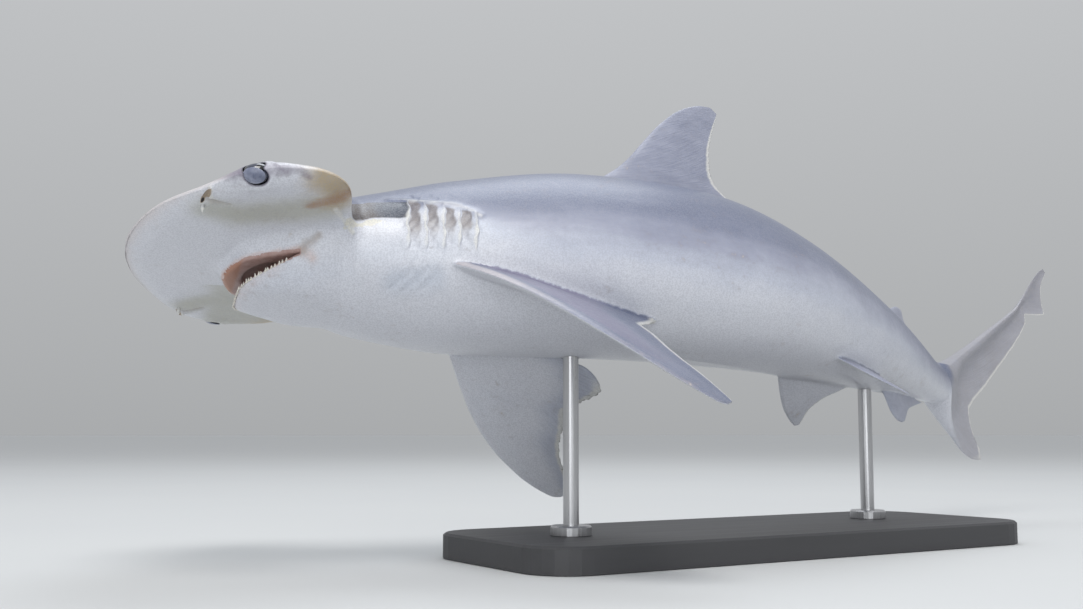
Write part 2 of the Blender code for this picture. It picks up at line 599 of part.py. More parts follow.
# Paired fins: where each starts, which way its chord and span run, its bow and twist.
PAIRED = (
    ("pectoral_fin_left", PECTORAL, 0.0085, 0.2055, (0.0, 0.0535, -0.0295), (0.956, -0.236, -0.177),
     (0.130, 0.875, -0.457), -0.866, -1.44, 1.185),
    ("pectoral_fin_right", PECTORAL, 0.0085, 0.2055, (0.0, -0.0535, -0.033), (0.929, 0.065, -0.365),
     (-0.132, -0.862, -0.489), 0.0, 0.0, 1.0),
    ("pelvic_fin_left", PELVIC, 0.0045, 0.461, (0.0, 0.026, -0.045), (0.986, -0.15, 0.073),
     (0.161, 0.742, -0.651), 0.0, 0.0, 1.0),
    ("pelvic_fin_right", PELVIC, 0.0045, 0.461, (0.0, -0.026, -0.045), (0.986, 0.15, 0.073),
     (0.161, -0.742, -0.651), 0.0, 0.0, 1.0),
)
for name, rows, thick, station, origin, chord_way, span_way, bow, twist, size in PAIRED:
    chord_way = np.array(chord_way) / np.linalg.norm(chord_way)
    span_way = np.array(span_way) - chord_way * np.dot(chord_way, span_way)
    span_way = span_way / np.linalg.norm(span_way)
    out = np.cross(chord_way, span_way)

    def sideways(points):
        x = points[:, 0:1] * size
        y = points[:, 1:2] * size
        lift = bow * y * y + twist * x * y + points[:, 2:3]
        return turned(station, np.array(origin) + x * chord_way + y * span_way + lift * out)

    fin = foil(name, rows, thick, 0.0007, sideways)
    boolean(fin, swollen, "DIFFERENCE")
    coat(fin, FLANK_GREY, 0.42)

# Stand: a flat base and two rods with a round foot, shaped to the belly at the top.
half_x, half_y = BASE_SIZE[0] / 2, BASE_SIZE[1] / 2
corner = 0.03
outline = []
for turn_start, sx, sy in ((0, 1, 1), (90, -1, 1), (180, -1, -1), (270, 1, -1)):
    for k in range(7):
        turn = math.radians(turn_start + 15 * k)
        x = sx * (half_x - corner) + corner * math.cos(turn)
        y = sy * (half_y - corner) + corner * math.sin(turn)
        outline.append((x, y))
levels = ((0.0, 0.0), (0.0, BASE_SIZE[2] - 0.0015), (0.0015, BASE_SIZE[2]))
points = []
for inset, z in levels:
    for x, y in outline:
        points.append((x * (1 - inset / half_x), y * (1 - inset / half_y), z))
count = len(outline)
faces = [tuple(range(count)), tuple(range(2 * count, 3 * count))]
for level in range(2):
    for i in range(count):
        j = (i + 1) % count
        low = level * count
        faces.append((low + i, low + j, low + count + j, low + count + i))
base = new_object("stand_base", points, faces, smooth=False)
coat(base, (0.035, 0.035, 0.04), 0.5)

for word, station in zip(("front", "rear"), ROD_AT):
    top = place((station, 0.0, 0.0))[0]
    foot = BASE_SIZE[2] + GAP
    shape = ((FOOT_RADIUS, foot), (FOOT_RADIUS, foot + FOOT_TALL - 0.001),
             (FOOT_RADIUS - 0.001, foot + FOOT_TALL), (ROD_RADIUS, foot + FOOT_TALL),
             (ROD_RADIUS, top[2]))
    points = []
    for radius, z in shape:
        for k in range(24):
            turn = 2 * math.pi * k / 24
            points.append((top[0] + radius * math.cos(turn), top[1] + radius * math.sin(turn), z))
    faces = [tuple(range(24)), tuple(96 + k for k in range(24))]
    for level in range(4):
        for k in range(24):
            n = (k + 1) % 24
            low = level * 24
            faces.append((low + k, low + n, low + 24 + n, low + 24 + k))
    rod = new_object("stand_rod_" + word, points, faces)
    boolean(rod, swollen, "DIFFERENCE")
    coat(rod, (0.45, 0.45, 0.46), 0.3, 1.0)
drop(swollen)
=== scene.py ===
import math

import bpy
import numpy as np
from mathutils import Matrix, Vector, kdtree


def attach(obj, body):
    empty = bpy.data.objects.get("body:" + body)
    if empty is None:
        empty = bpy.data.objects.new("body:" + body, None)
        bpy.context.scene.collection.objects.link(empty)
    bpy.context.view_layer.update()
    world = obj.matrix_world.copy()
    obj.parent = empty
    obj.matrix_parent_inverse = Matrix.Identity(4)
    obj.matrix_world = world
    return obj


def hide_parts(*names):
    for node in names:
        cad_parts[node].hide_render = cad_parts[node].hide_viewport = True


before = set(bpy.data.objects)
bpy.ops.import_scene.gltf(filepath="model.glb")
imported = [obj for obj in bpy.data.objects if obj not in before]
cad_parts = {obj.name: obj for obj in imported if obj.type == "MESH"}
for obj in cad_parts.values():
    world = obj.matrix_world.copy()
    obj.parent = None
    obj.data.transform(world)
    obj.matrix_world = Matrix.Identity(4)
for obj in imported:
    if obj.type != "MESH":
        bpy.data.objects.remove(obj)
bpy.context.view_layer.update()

# The skin: one tough sheet of tiny scales over muscle and gristle, with no seam from the
# snout to the tail. The model has it as one closed casting with a satin finish, set out
# along a straight shark (s back from the snout, a to its left, h up) and then bent.


def curve(at, value, s):
    """Smooth curve through the knots that never overshoots them."""
    x = np.asarray(at, float)
    y = np.asarray(value, float)
    s = np.clip(np.asarray(s, float), x[0], x[-1])
    h = np.diff(x)
    d = np.diff(y) / h
    m = np.empty(len(x))
    m[0] = d[0]
    m[-1] = d[-1]
    same = d[:-1] * d[1:] > 0
    w1 = 2 * h[1:] + h[:-1]
    w2 = h[1:] + 2 * h[:-1]
    mean = (w1 + w2) / (w1 / np.where(same, d[:-1], 1) + w2 / np.where(same, d[1:], 1))
    m[1:-1] = np.where(same, mean, 0)
    i = np.clip(np.searchsorted(x, s, side="right") - 1, 0, len(x) - 2)
    t = (s - x[i]) / h[i]
    ends = (1 + 2 * t) * (1 - t) ** 2 * y[i] + t * t * (3 - 2 * t) * y[i + 1]
    return ends + t * (1 - t) ** 2 * h[i] * m[i] + t * t * (t - 1) * h[i] * m[i + 1]


def ramp(x, low, high):
    t = np.clip((x - low) / (high - low), 0, 1)
    return t * t * (3 - 2 * t)


def bump(x, middle, half):
    return np.exp(-(((x - middle) / half) ** 2))


# The bend of the backbone: its heading, pitch and bank in degrees, at shares of its length.
SNOUT = (-0.415, 0.065, 0.186)
BEND_AT = (0.0, 0.13, 0.22, 0.34, 0.46, 0.58, 0.70, 0.80, 1.0)
HEADING = (-11.0, -11.0, -22.5, -9.5, 12.0, 19.0, 27.0, 15.0, -14.0)
PITCH = (0.0, 0.0, 1.0, -4.5, -9.5, -10.5, -7.0, 0.5, 12.5)
BANK_AT = (0.0, 0.13, 0.30, 0.50, 0.75, 1.0)
BANK = (17.5, 17.5, 15.5, 12.5, 6.0, 6.0)


def backbone():
    """Points and axes of the bent backbone, one for each half millimetre of length."""
    s = np.linspace(0, 1, 2001)
    heading = np.radians(curve(BEND_AT, HEADING, s))
    pitch = np.radians(curve(BEND_AT, PITCH, s))
    bank = np.radians(curve(BANK_AT, BANK, s))
    level = np.cos(pitch)
    back = np.stack([level * np.cos(heading), level * np.sin(heading), np.sin(pitch)], 1)
    step = (back[1:] + back[:-1]) / 2 * np.diff(s)[:, None]
    point = np.concatenate([np.zeros((1, 3)), np.cumsum(step, 0)]) + np.array(SNOUT)
    up = np.array([0, 0, 1.0]) - back * back[:, 2:]
    up /= np.linalg.norm(up, axis=1)[:, None]
    left = np.cross(up, -back)
    c = np.cos(bank)[:, None]
    n = np.sin(bank)[:, None]
    return s, point, back, c * left + n * up, c * up - n * left


SPINE_S, SPINE_POINT, SPINE_BACK, SPINE_LEFT, SPINE_UP = backbone()


def along(table, s):
    return np.stack([np.interp(s, SPINE_S, table[:, k]) for k in range(3)], -1)


def place(points):
    """Straight-shark coordinates (s, a, h) to where they lie on the bent one."""
    p = np.asarray(points, float).reshape(-1, 3)
    s = np.clip(p[:, 0], 0, 1)
    over = (p[:, 0] - s)[:, None]
    base = along(SPINE_POINT, s) + over * along(SPINE_BACK, s)
    return base + p[:, 1:2] * along(SPINE_LEFT, s) + p[:, 2:3] * along(SPINE_UP, s)


def turned(origin_s, points):
    """Coordinates along the back, left and up axes at one station, unbent."""
    s = np.array([origin_s])
    axes = np.stack([along(SPINE_BACK, s)[0], along(SPINE_LEFT, s)[0], along(SPINE_UP, s)[0]])
    return along(SPINE_POINT, s)[0] + points @ axes


# Heights and half widths of the body, of the hammer and of what hangs under the hammer.
BODY_AT = (0.0, 0.05, 0.10, 0.125, 0.15, 0.20, 0.28, 0.36, 0.45, 0.55, 0.65, 0.72, 0.76)
BODY_TOP = (0.006, 0.0150, 0.0270, 0.0340, 0.0405, 0.0516, 0.0600, 0.0602, 0.0510, 0.0372,
            0.0252, 0.0190, 0.0176)
BODY_LOW = (0.006, 0.0150, 0.0360, 0.0430, 0.0487, 0.0565, 0.0590, 0.0572, 0.0510, 0.0402,
            0.0272, 0.0200, 0.0182)
BODY_HALF = (0.020, 0.034, 0.0450, 0.0485, 0.0520, 0.0575, 0.0580, 0.0553, 0.0460, 0.0331,
             0.0211, 0.0150, 0.0122)
BODY_EGG = 0.22
HAMMER_AT = (0.0045, 0.0047, 0.0052, 0.0068, 0.0105, 0.0175, 0.0265, 0.037, 0.047, 0.058, 0.070,
             0.082, 0.094, 0.104, 0.112, 0.117, 0.120, 0.1225, 0.126, 0.132, 0.150)
HAMMER_HALF = (0.0, 0.006, 0.012, 0.021, 0.035, 0.0515, 0.0665, 0.0800, 0.0905, 0.0990, 0.1040,
               0.1058, 0.1050, 0.1015, 0.0950, 0.0865, 0.0775, 0.0670, 0.0575, 0.0518, 0.0520)
KEEL_DEEP = 0.0135
KEEL_HALF = 0.048
RIM_DEEP = 0.0135
RIM_THICK = 0.0082
RIM_DROOP = 0.003
HAMMER_ENDS = 0.118
NECK_STARTS = 0.136
BULGE_AT = (0.050, 0.056, 0.059, 0.0616, 0.0645, 0.068, 0.0732, 0.0793, 0.0871, 0.097,
            0.120, 0.150)
BULGE_LOW = (0.0, 0.0130, 0.0170, 0.0240, 0.0305, 0.0325, 0.0337, 0.0348, 0.0362, 0.0382,
             0.0425, 0.0487)
BULGE_HALF = (0.005, 0.0065, 0.0090, 0.0165, 0.0235, 0.0285, 0.0318, 0.0350, 0.0380, 0.0420,
              0.0475, 0.0520)
UNDER_AT = (0.0045, 0.010, 0.020, 0.035, 0.050, 0.0595, 0.0645, 0.0705, 0.080, 0.090, 0.100,
            0.112, 0.118, 0.1225, 0.126, 0.150)
UNDER_HALF = (0.002, 0.018, 0.030, 0.034, 0.029, 0.0195, 0.0250, 0.0310, 0.0365, 0.0400, 0.0440,
              0.0490, 0.0500, 0.0410, 0.0357, 0.0322)
UNDER_SHARE = 0.62
EYE_AT = (0.0660, 0.0968, 0.0000)
OUTLINE_S = HAMMER_AT[0] + np.linspace(0, 1, 360) ** 1.6 * (0.126 - HAMMER_AT[0])
OUTLINE_A = curve(HAMMER_AT, HAMMER_HALF, OUTLINE_S)


def soft_max(x, y, k):
    return (x + y + np.sqrt((x - y) ** 2 + k * k) - k) / 2


def ring(s, around):
    """(a, h) of the body's surface at station s, from the back over the left side."""
    way = np.arange(around) / around * 2 * math.pi
    c = np.sin(way)
    n = np.cos(way)
    half = curve(BODY_AT, BODY_HALF, s)
    top = curve(BODY_AT, BODY_TOP, s)
    low = curve(BODY_AT, BODY_LOW, s)
    body_a = half * c * (1 - BODY_EGG * n)
    body_h = np.where(n > 0, top, low) * n
    mix = ramp(s, HAMMER_ENDS, NECK_STARTS)
    if mix == 1:
        return body_a, body_h
    wide = curve(HAMMER_AT, HAMMER_HALF, s)
    line = curve(UNDER_AT, UNDER_HALF, s)
    near = line * np.abs(c) / UNDER_SHARE
    far = line + (wide - line) * (np.abs(c) - UNDER_SHARE) / (1 - UNDER_SHARE)
    under_a = np.sign(c) * np.where(np.abs(c) < UNDER_SHARE, near, far)
    head_a = np.where(n < 0, under_a, wide * c)
    inside = np.hypot(s - OUTLINE_S, np.abs(head_a)[:, None] - OUTLINE_A).min(-1)
    rim = np.sqrt(1 - (1 - np.clip(inside / RIM_DEEP, 0, 1)) ** 2)
    near_eye = bump(s, EYE_AT[0], 0.016) * bump(np.abs(head_a), 0.1, 0.014)
    blade = (RIM_THICK + 0.0018 * near_eye) * rim
    crown = top * np.sqrt(np.clip(1 - (head_a / (half + 0.012)) ** 2, 0, 1)) * rim
    boxy = 5 - 2.4 * ramp(s, 0.09, 0.125)
    bulge = np.clip(1 - np.abs(head_a / curve(BULGE_AT, BULGE_HALF, s)) ** boxy, 0, 1)
    bulge = curve(BULGE_AT, BULGE_LOW, s) * np.sqrt(bulge) * ramp(s, 0.048, 0.054)
    keel = np.sqrt(np.clip(1 - (head_a / KEEL_HALF) ** 2, 0, 1)) * rim
    keel = keel * np.minimum(low * 0.8, KEEL_DEEP)
    under = soft_max(soft_max(blade, keel, 0.004), bulge, 0.004)
    over = soft_max(blade, crown, 0.004)
    head_h = np.where(n > 0, over, -under) * (np.abs(n) > 1e-6)
    head_h = head_h - RIM_DROOP * bump(s, 0.036, 0.018) * (head_a / 0.075) ** 2
    return head_a + (body_a - head_a) * mix, head_h + (body_h - head_h) * mix


def eased(grid, weight, rounds):
    """A grid of numbers softened along and across its rings where the weight says."""
    for _ in range(rounds):
        mean = (np.roll(grid, 1, 1) + np.roll(grid, -1, 1)) / 4
        mean[1:-1] += (grid[2:] + grid[:-2]) / 4
        mean[[0, -1]] = grid[[0, -1]]
        grid = grid + weight * 0.6 * (mean - grid)
    return grid


def near_path(points, path, half):
    """1 on a path and fading to 0 beside it; half may change along the path."""
    path = np.array(path)
    steps = np.linspace(0, len(path) - 1, 14 * (len(path) - 1) + 1)
    way = np.stack([np.interp(steps, range(len(path)), path[:, k]) for k in range(3)], 1)
    half = np.interp(steps, np.linspace(0, len(path) - 1, np.size(half)), np.atleast_1d(half))
    reach = 3 * half.max()
    box = ((points > way.min(0) - reach) & (points < way.max(0) + reach)).all(1)
    far = np.full(int(box.sum()), 99.0)
    for place_on_way, width in zip(way, half):
        far = np.minimum(far, ((points[box] - place_on_way) ** 2).sum(1) / width ** 2)
    out = np.zeros(len(points))
    out[box] = np.exp(-far)
    return out


GILLS = (0.161, 0.174, 0.1865, 0.1975, 0.2085)


def gill_window(s, h):
    """How open a gill slit is at this height: 1 in its middle and 0 at its ends."""
    middle = -0.158 * (s - GILLS[0])
    tall = 0.0185 - 0.10 * (s - GILLS[0])
    return np.sqrt(np.clip(1 - ((h - middle) / tall) ** 2, 0, 1))


def gill_bands(s):
    """For each station, how far it lies from one slit to the next, and after which."""
    share = np.zeros(np.shape(s))
    number = np.full(np.shape(s), -1)
    front = GILLS[0] - 0.010
    for k, slit in enumerate(GILLS):
        inside = (s > front) & (s <= slit + 0.00001)
        share = np.where(inside, (s - front) / (slit - front), share)
        number = np.where(inside, k, number)
        front = slit
    after = (s > front) & (s < front + 0.008)
    return np.where(after, (s - front) / 0.008, share), np.where(after, len(GILLS), number)


NECK_RIDGE = ((0.1110, 0.0732, -0.0049), (0.1200, 0.0569, -0.0048), (0.1255, 0.0516, -0.0086))
GILL_RIDGE = ((0.152, 0.0400, 0.0195), (0.165, 0.0455, 0.0178), (0.180, 0.0497, 0.0147),
              (0.193, 0.0525, 0.0130), (0.205, 0.0553, 0.0080), (0.2105, 0.0568, 0.0040))
LABIAL_FOLD = ((0.0985, 0.0408, -0.0160), (0.1000, 0.0419, -0.0130), (0.1036, 0.0434, -0.0110),
               (0.1070, 0.0456, -0.0082))
NOSTRIL_GROOVE = ((0.0412, 0.0768, -0.0068), (0.0478, 0.0746, -0.0071), (0.0550, 0.0708, -0.0062))
NOSTRIL_RIM = ((0.0405, 0.0885, -0.0030), (0.0428, 0.0851, -0.0047), (0.0436, 0.0795, -0.0066))
WRINKLES = (((0.1480, 0.0385, -0.0375), (0.1640, 0.0500, -0.0288)),
            ((0.1570, 0.0400, -0.0390), (0.1740, 0.0520, -0.0290)),
            ((0.1680, 0.0420, -0.0390), (0.1830, 0.0525, -0.0300)))
BELLY_RIDGE = ((0.330, 0.0005, -0.0580), (0.360, -0.002, -0.0572), (0.410, -0.008, -0.0535),
               (0.455, -0.0135, -0.0490))


def folds(rest):
    """How far the skin stands out at each place, from its flaps, ridges and grooves."""
    s, a, h = rest.T
    side = np.stack([s, np.abs(a), h], 1)
    share, number = gill_bands(s)
    flap = np.where(number == 0, 0.0018 * share ** 1.5, -0.0011 + 0.0027 * share ** 1.7)
    flap = np.where(number == len(GILLS), -0.0009 * (1 - share) ** 2, flap)
    out = gill_window(s, h) * np.where(number >= 0, flap, 0) * (np.abs(a) > 0.02)
    out += 0.0010 * near_path(side, GILL_RIDGE, 0.0026)
    out += 0.0008 * near_path(side, NECK_RIDGE, 0.0014)
    out -= 0.0010 * near_path(side, LABIAL_FOLD, (0.0012, 0.0009))
    out -= 0.0013 * near_path(side, NOSTRIL_GROOVE, (0.0022, 0.0010))
    out += 0.0016 * near_path(side, NOSTRIL_RIM, 0.0014)
    for wrinkle in WRINKLES:
        out -= 0.0005 * near_path(side, wrinkle, (0.0012, 0.0030, 0.0016))
    out += 0.0010 * near_path(rest, BELLY_RIDGE, 0.0045)
    from_eye = np.hypot((s - EYE_AT[0]) / 0.0078, (h - EYE_AT[2]) / 0.0062)
    out += 0.0006 * bump(from_eye, 1.12, 0.16) * ramp(np.abs(a), 0.086, 0.092)
    return out


def faced(points, quads, thirds=()):
    """Faces of four and of three corners as one list, turned so that they face out."""
    thirds = np.asarray(thirds, int).reshape(-1, 3)
    parts = np.concatenate([quads[:, [0, 1, 2]], quads[:, [0, 2, 3]], thirds])
    p = points[parts]
    if np.einsum("ij,ij->", p[:, 0], np.cross(p[:, 1], p[:, 2])) < 0:
        quads = quads[:, ::-1]
        thirds = thirds[:, ::-1]
    return quads, thirds


def closed_piece(name, points, quads, thirds=()):
    """An object from corner points and faces, shaded smooth."""
    quads, thirds = faced(points - points.mean(0), np.asarray(quads), thirds)
    mesh = bpy.data.meshes.new(name)
    mesh.vertices.add(len(points))
    mesh.vertices.foreach_set("co", points.astype(np.float32).ravel())
    loops = np.concatenate([quads.ravel(), thirds.ravel()])
    starts = np.concatenate([np.arange(len(quads)) * 4, len(quads) * 4 + np.arange(len(thirds)) * 3])
    mesh.loops.add(len(loops))
    mesh.loops.foreach_set("vertex_index", loops.astype(np.int32))
    mesh.polygons.add(len(starts))
    mesh.polygons.foreach_set("loop_start", starts.astype(np.int32))
    mesh.update(calc_edges=True)
    mesh.validate()
    mesh.shade_smooth()
    obj = bpy.data.objects.new(name, mesh)
    bpy.context.scene.collection.objects.link(obj)
    return obj


def points_of(obj):
    flat = np.empty(len(obj.data.vertices) * 3, np.float32)
    obj.data.vertices.foreach_get("co", flat)
    return flat.reshape(-1, 3).astype(float)


def combine(obj, other, operation):
    """Joins another closed piece to this one, or cuts it away, and removes it."""
    step = obj.modifiers.new(operation, "BOOLEAN")
    step.operation = operation
    step.solver = "MANIFOLD"
    step.object = other
    bpy.context.view_layer.update()
    graph = bpy.context.evaluated_depsgraph_get()
    mesh = bpy.data.meshes.new_from_object(obj.evaluated_get(graph))
    obj.modifiers.clear()
    obj.data = mesh
    bpy.data.objects.remove(other, do_unlink=True)


def tube(rings, around, start=0):
    """Faces of a run of rings, each of as many points, numbered on from start."""
    n = np.arange(around)
    one = start + np.arange(rings - 1)[:, None] * around
    two = one + (n + 1) % around
    one = one + n
    return np.stack([one, two, two + around, one + around], -1).reshape(-1, 4)


def fan(start, around, middle, turn=1):
    """Faces that close one ring with the point in its middle."""
    n = np.arange(around)
    return np.stack([start + (n + 1) % around, start + n, np.full(around, middle)], 1)[:, ::turn]


def caps(rings, around, total):
    """Both ends of a run of rings, closed with the last two of its points."""
    return np.concatenate([fan(0, around, total - 2), fan((rings - 1) * around, around, total - 1, -1)])


HEAD_AROUND = 480
BODY_AROUND = 240
HEAD_STEPS = ((0.00453, 0.0053, 0.00007), (0.0053, 0.0105, 0.00017), (0.0105, 0.022, 0.0003),
              (0.022, 0.110, 0.0006), (0.110, 0.128, 0.00025), (0.128, 0.2155, 0.0006))
STOCK_END = 0.738
head_at = np.concatenate([np.arange(*run) for run in HEAD_STEPS])
body_at = np.linspace(0.2162, STOCK_END - 0.0005, 330)
head = np.array([ring(s, HEAD_AROUND) for s in head_at])
body = np.array([ring(s, BODY_AROUND) for s in body_at])
soft = ramp(head_at, 0.044, 0.054) * (1 - ramp(head_at, 0.128, 0.142))
soft = soft[:, None] * (1 - ramp(np.abs(head[:, 0]), 0.070, 0.088))
soft = soft * ramp(-np.cos(np.arange(HEAD_AROUND) / HEAD_AROUND * 2 * math.pi), 0.0, 0.2)
head = np.stack([eased(head[:, k], soft, 30) for k in range(2)], 1)

# Tail fin, carried on from the same rings: its rows run from the upper edge to the
# lower one, thick along the backbone near the top and thin as card behind.
CAUDAL = (
    (0.7383, 0.0176, 0.7383, -0.0187), (0.7425, 0.0178, 0.7488, -0.0324), (0.7455, 0.0179, 0.7694, -0.0475),
    (0.7485, 0.0180, 0.7880, -0.0601), (0.7520, 0.0183, 0.8066, -0.0668), (0.7570, 0.0190, 0.8215, -0.0682),
    (0.7640, 0.0203, 0.8218, -0.0600), (0.7730, 0.0225, 0.8155, -0.0480), (0.7830, 0.0250, 0.8115, -0.0340),
    (0.7950, 0.0283, 0.8118, -0.0235), (0.8120, 0.0334, 0.8226, -0.0147), (0.8380, 0.0416, 0.8496, -0.0010),
    (0.8640, 0.0505, 0.8757, 0.0144), (0.8860, 0.0580, 0.9009, 0.0296), (0.9060, 0.0650, 0.9219, 0.0440),
    (0.9230, 0.0715, 0.9345, 0.0560), (0.9300, 0.0755, 0.9368, 0.0640), (0.9380, 0.0810, 0.9500, 0.0618),
    (0.9471, 0.0871, 0.9640, 0.0600), (0.9560, 0.0935, 0.9648, 0.0700), (0.9650, 0.0995, 0.9680, 0.0847),
    (0.9740, 0.1042, 0.9745, 0.0940), (0.9800, 0.1058, 0.9822, 0.1010))
CAUDAL_THICK = 0.0274
CAUDAL_EDGE = 0.0006
CAUDAL_ROWS = 150


def fine_rows(rows, count):
    """The outline rows of a fin, drawn closer together on smooth lines."""
    v = np.linspace(0, len(rows) - 1, count)
    return v / (len(rows) - 1), np.stack([curve(range(len(rows)), column, v) for column in zip(*rows)], 1)


def ragged(share, size, pace):
    """A frayed edge: small uneven nicks along a share of its length."""
    turn = share * pace
    wave = np.sin(turn) + 0.7 * np.sin(turn * 2.3 + 1) + 0.5 * np.sin(turn * 4.1 + 2)
    return size * wave * ramp(share, 0.12, 0.3) * (1 - ramp(share, 0.93, 1.0))


tail_share, tail_rows = fine_rows(CAUDAL, CAUDAL_ROWS)
half_around = BODY_AROUND // 2
spread = (1 - np.cos(np.linspace(0, 1, half_around + 1) * math.pi)) / 2
tail = []
tail_grain = []
for share, (x0, y0, x1, y1) in zip(tail_share, tail_rows):
    x = x0 + (x1 - x0) * spread + ragged(share, 0.00035, 190) * spread ** 8
    y = y0 + (y1 - y0) * spread
    round_half = np.sqrt(np.clip(1 - (2 * spread - 1) ** 2, 0, 1)) * CAUDAL_THICK / 2
    round_half = round_half * (1 - BODY_EGG * (1 - 2 * spread))
    broad = 0.16 + 0.25 * (1 - share) ** 6
    ridge = CAUDAL_THICK / 2 * (1 - ramp(share, 0.0, 1.0)) ** 1.3
    ridge = ridge * bump(spread, 0.16 - 0.1 * share, broad) * np.minimum(1, spread / 0.04) ** 0.5
    blade = ridge + CAUDAL_EDGE / 2 * np.minimum(1, spread / 0.03) * np.minimum(1, (1 - spread) / 0.01) ** 0.5
    near = ramp(share, 0.0, 0.14)
    thick = round_half * (1 - near) + blade * near
    thick[[0, -1]] = 0
    left = np.stack([x, thick, y], 1)
    right = np.stack([x, -thick, y], 1)[-2:0:-1]
    tail.append(np.concatenate([left, right]))
    tail_grain.append(np.concatenate([spread, spread[-2:0:-1]]))

head_rest = np.stack([np.broadcast_to(head_at[:, None], head[:, 0].shape), head[:, 0], head[:, 1]], -1)
body_rest = np.stack([np.broadcast_to(body_at[:, None], body[:, 0].shape), body[:, 0], body[:, 1]], -1)
tail_rest = np.array(tail)


def outward(grid):
    """Unit vectors straight out of a grid of points on the body."""
    way = np.cross(np.roll(grid, -1, 1) - np.roll(grid, 1, 1), np.gradient(grid, axis=0))
    return way / (np.linalg.norm(way, axis=-1)[..., None] + 1e-12)


GILL_MIDDLE = -0.003
GILL_TALL = 0.021
GILL_LEAN = 0.0013


def leaned(rest):
    """The same points with the gill region's rings leaning back at the top."""
    moved = rest.copy()
    s, a, h = np.moveaxis(rest, -1, 0)
    lean = np.clip((h - GILL_MIDDLE) / GILL_TALL, -1.5, 1.5)
    more = 1 + 1.7 * (1 - ramp(s, 0.160, 0.174)) * (lean > 0)
    window = ramp(s, 0.146, 0.158) * (1 - ramp(s, 0.2095, 0.2155)) * (1 - ramp(np.abs(lean), 1.0, 1.5))
    sway = 0.0006 * np.sin(h * 330 + s * 500) + 0.0004 * np.sin(h * 760 - s * 900)
    moved[..., 0] += (GILL_LEAN * lean * more + sway) * window * (np.abs(a) > 0.02)
    return moved


head_points = place(leaned(head_rest)).reshape(head_rest.shape)
head_points += outward(head_points) * folds(head_rest.reshape(-1, 3)).reshape(len(head_at), -1, 1)
body_points = place(body_rest).reshape(body_rest.shape)
body_points += outward(body_points) * folds(body_rest.reshape(-1, 3)).reshape(len(body_at), -1, 1)
tail_points = place(tail_rest).reshape(tail_rest.shape)

skin_rest = np.concatenate([g.reshape(-1, 3) for g in (head_rest, body_rest, tail_rest)])
skin_points = np.concatenate([g.reshape(-1, 3) for g in (head_points, body_points, tail_points)])
nose = np.array([[HAMMER_AT[0], 0.0, 0.0]])
tip = tail_rest[-1].mean(0, keepdims=True)
skin_rest = np.concatenate([skin_rest, nose, tip])
skin_points = np.concatenate([skin_points, place(nose), place(tip)])
head_count = len(head_at) * HEAD_AROUND
quads = [tube(len(head_at), HEAD_AROUND), tube(len(body_at) + CAUDAL_ROWS, BODY_AROUND, head_count)]
fine = head_count - HEAD_AROUND
i = np.arange(BODY_AROUND)
j = (i + 1) % BODY_AROUND
one, two, three = fine + 2 * i, fine + 2 * i + 1, fine + 2 * j
thirds = [np.stack([one, two, head_count + i], 1), np.stack([two, head_count + j, head_count + i], 1),
          np.stack([two, three, head_count + j], 1)]
last = head_count + (len(body_at) + CAUDAL_ROWS - 1) * BODY_AROUND
thirds.append(fan(0, HEAD_AROUND, len(skin_points) - 2))
thirds.append(fan(last, BODY_AROUND, len(skin_points) - 1, -1))
skin = closed_piece("skin", skin_points, np.concatenate(quads), np.concatenate(thirds))

# What each point of the skin is: its place on the straight shark, and for a fin its
# kind, its share from front to rear edge and its share from root to tip.
BODY, DORSAL, LOWER, PECTORAL_FIN, PELVIC_FIN, TAIL = range(6)
tail_start = head_count + len(body_at) * BODY_AROUND
kind = np.full(len(skin_points), BODY)
kind[tail_start:] = TAIL
kind[-2] = BODY
front_share = np.zeros(len(skin_points))
tip_share = np.zeros(len(skin_points))
front_share[tail_start:-2] = np.concatenate(tail_grain)
tip_share[tail_start:-2] = np.repeat(tail_share, BODY_AROUND)
tip_share[-1] = 1

# The other fins: each a thin foil of gristle rods, thick in front and frayed behind,
# growing out of the flesh with its root sunk in the body.
FIRST_DORSAL = (
    (0.282, 0.046, 0.384, 0.044), (0.2895, 0.0570, 0.3930, 0.0560), (0.2985, 0.0635, 0.4080, 0.0600),
    (0.3085, 0.0705, 0.4000, 0.0655), (0.3190, 0.0805, 0.3880, 0.0730), (0.3310, 0.0955, 0.3838, 0.0845),
    (0.3450, 0.1120, 0.3845, 0.0985), (0.3590, 0.1247, 0.3875, 0.1105), (0.3700, 0.1312, 0.3915, 0.1215),
    (0.3800, 0.1350, 0.3945, 0.1285), (0.3885, 0.1363, 0.3957, 0.1325))
SECOND_DORSAL = (
    (0.597, 0.020, 0.650, 0.016), (0.6035, 0.0320, 0.6640, 0.0235), (0.6120, 0.0365, 0.6880, 0.0238),
    (0.6215, 0.0407, 0.7000, 0.0232), (0.6300, 0.0440, 0.6830, 0.0285), (0.6370, 0.0466, 0.6690, 0.0312),
    (0.6440, 0.0480, 0.6610, 0.0350), (0.6500, 0.0482, 0.6573, 0.0405), (0.6535, 0.0470, 0.6560, 0.0440))
ANAL = (
    (0.577, -0.022, 0.640, -0.016), (0.5825, -0.0345, 0.6520, -0.0255), (0.5876, -0.0390, 0.6750, -0.0258),
    (0.5925, -0.0445, 0.6900, -0.0248), (0.5975, -0.0495, 0.6720, -0.0292),
    (0.6050, -0.0530, 0.6513, -0.0338), (0.6125, -0.0542, 0.6400, -0.0395),
    (0.6190, -0.0540, 0.6330, -0.0455), (0.6240, -0.0525, 0.6285, -0.0498))
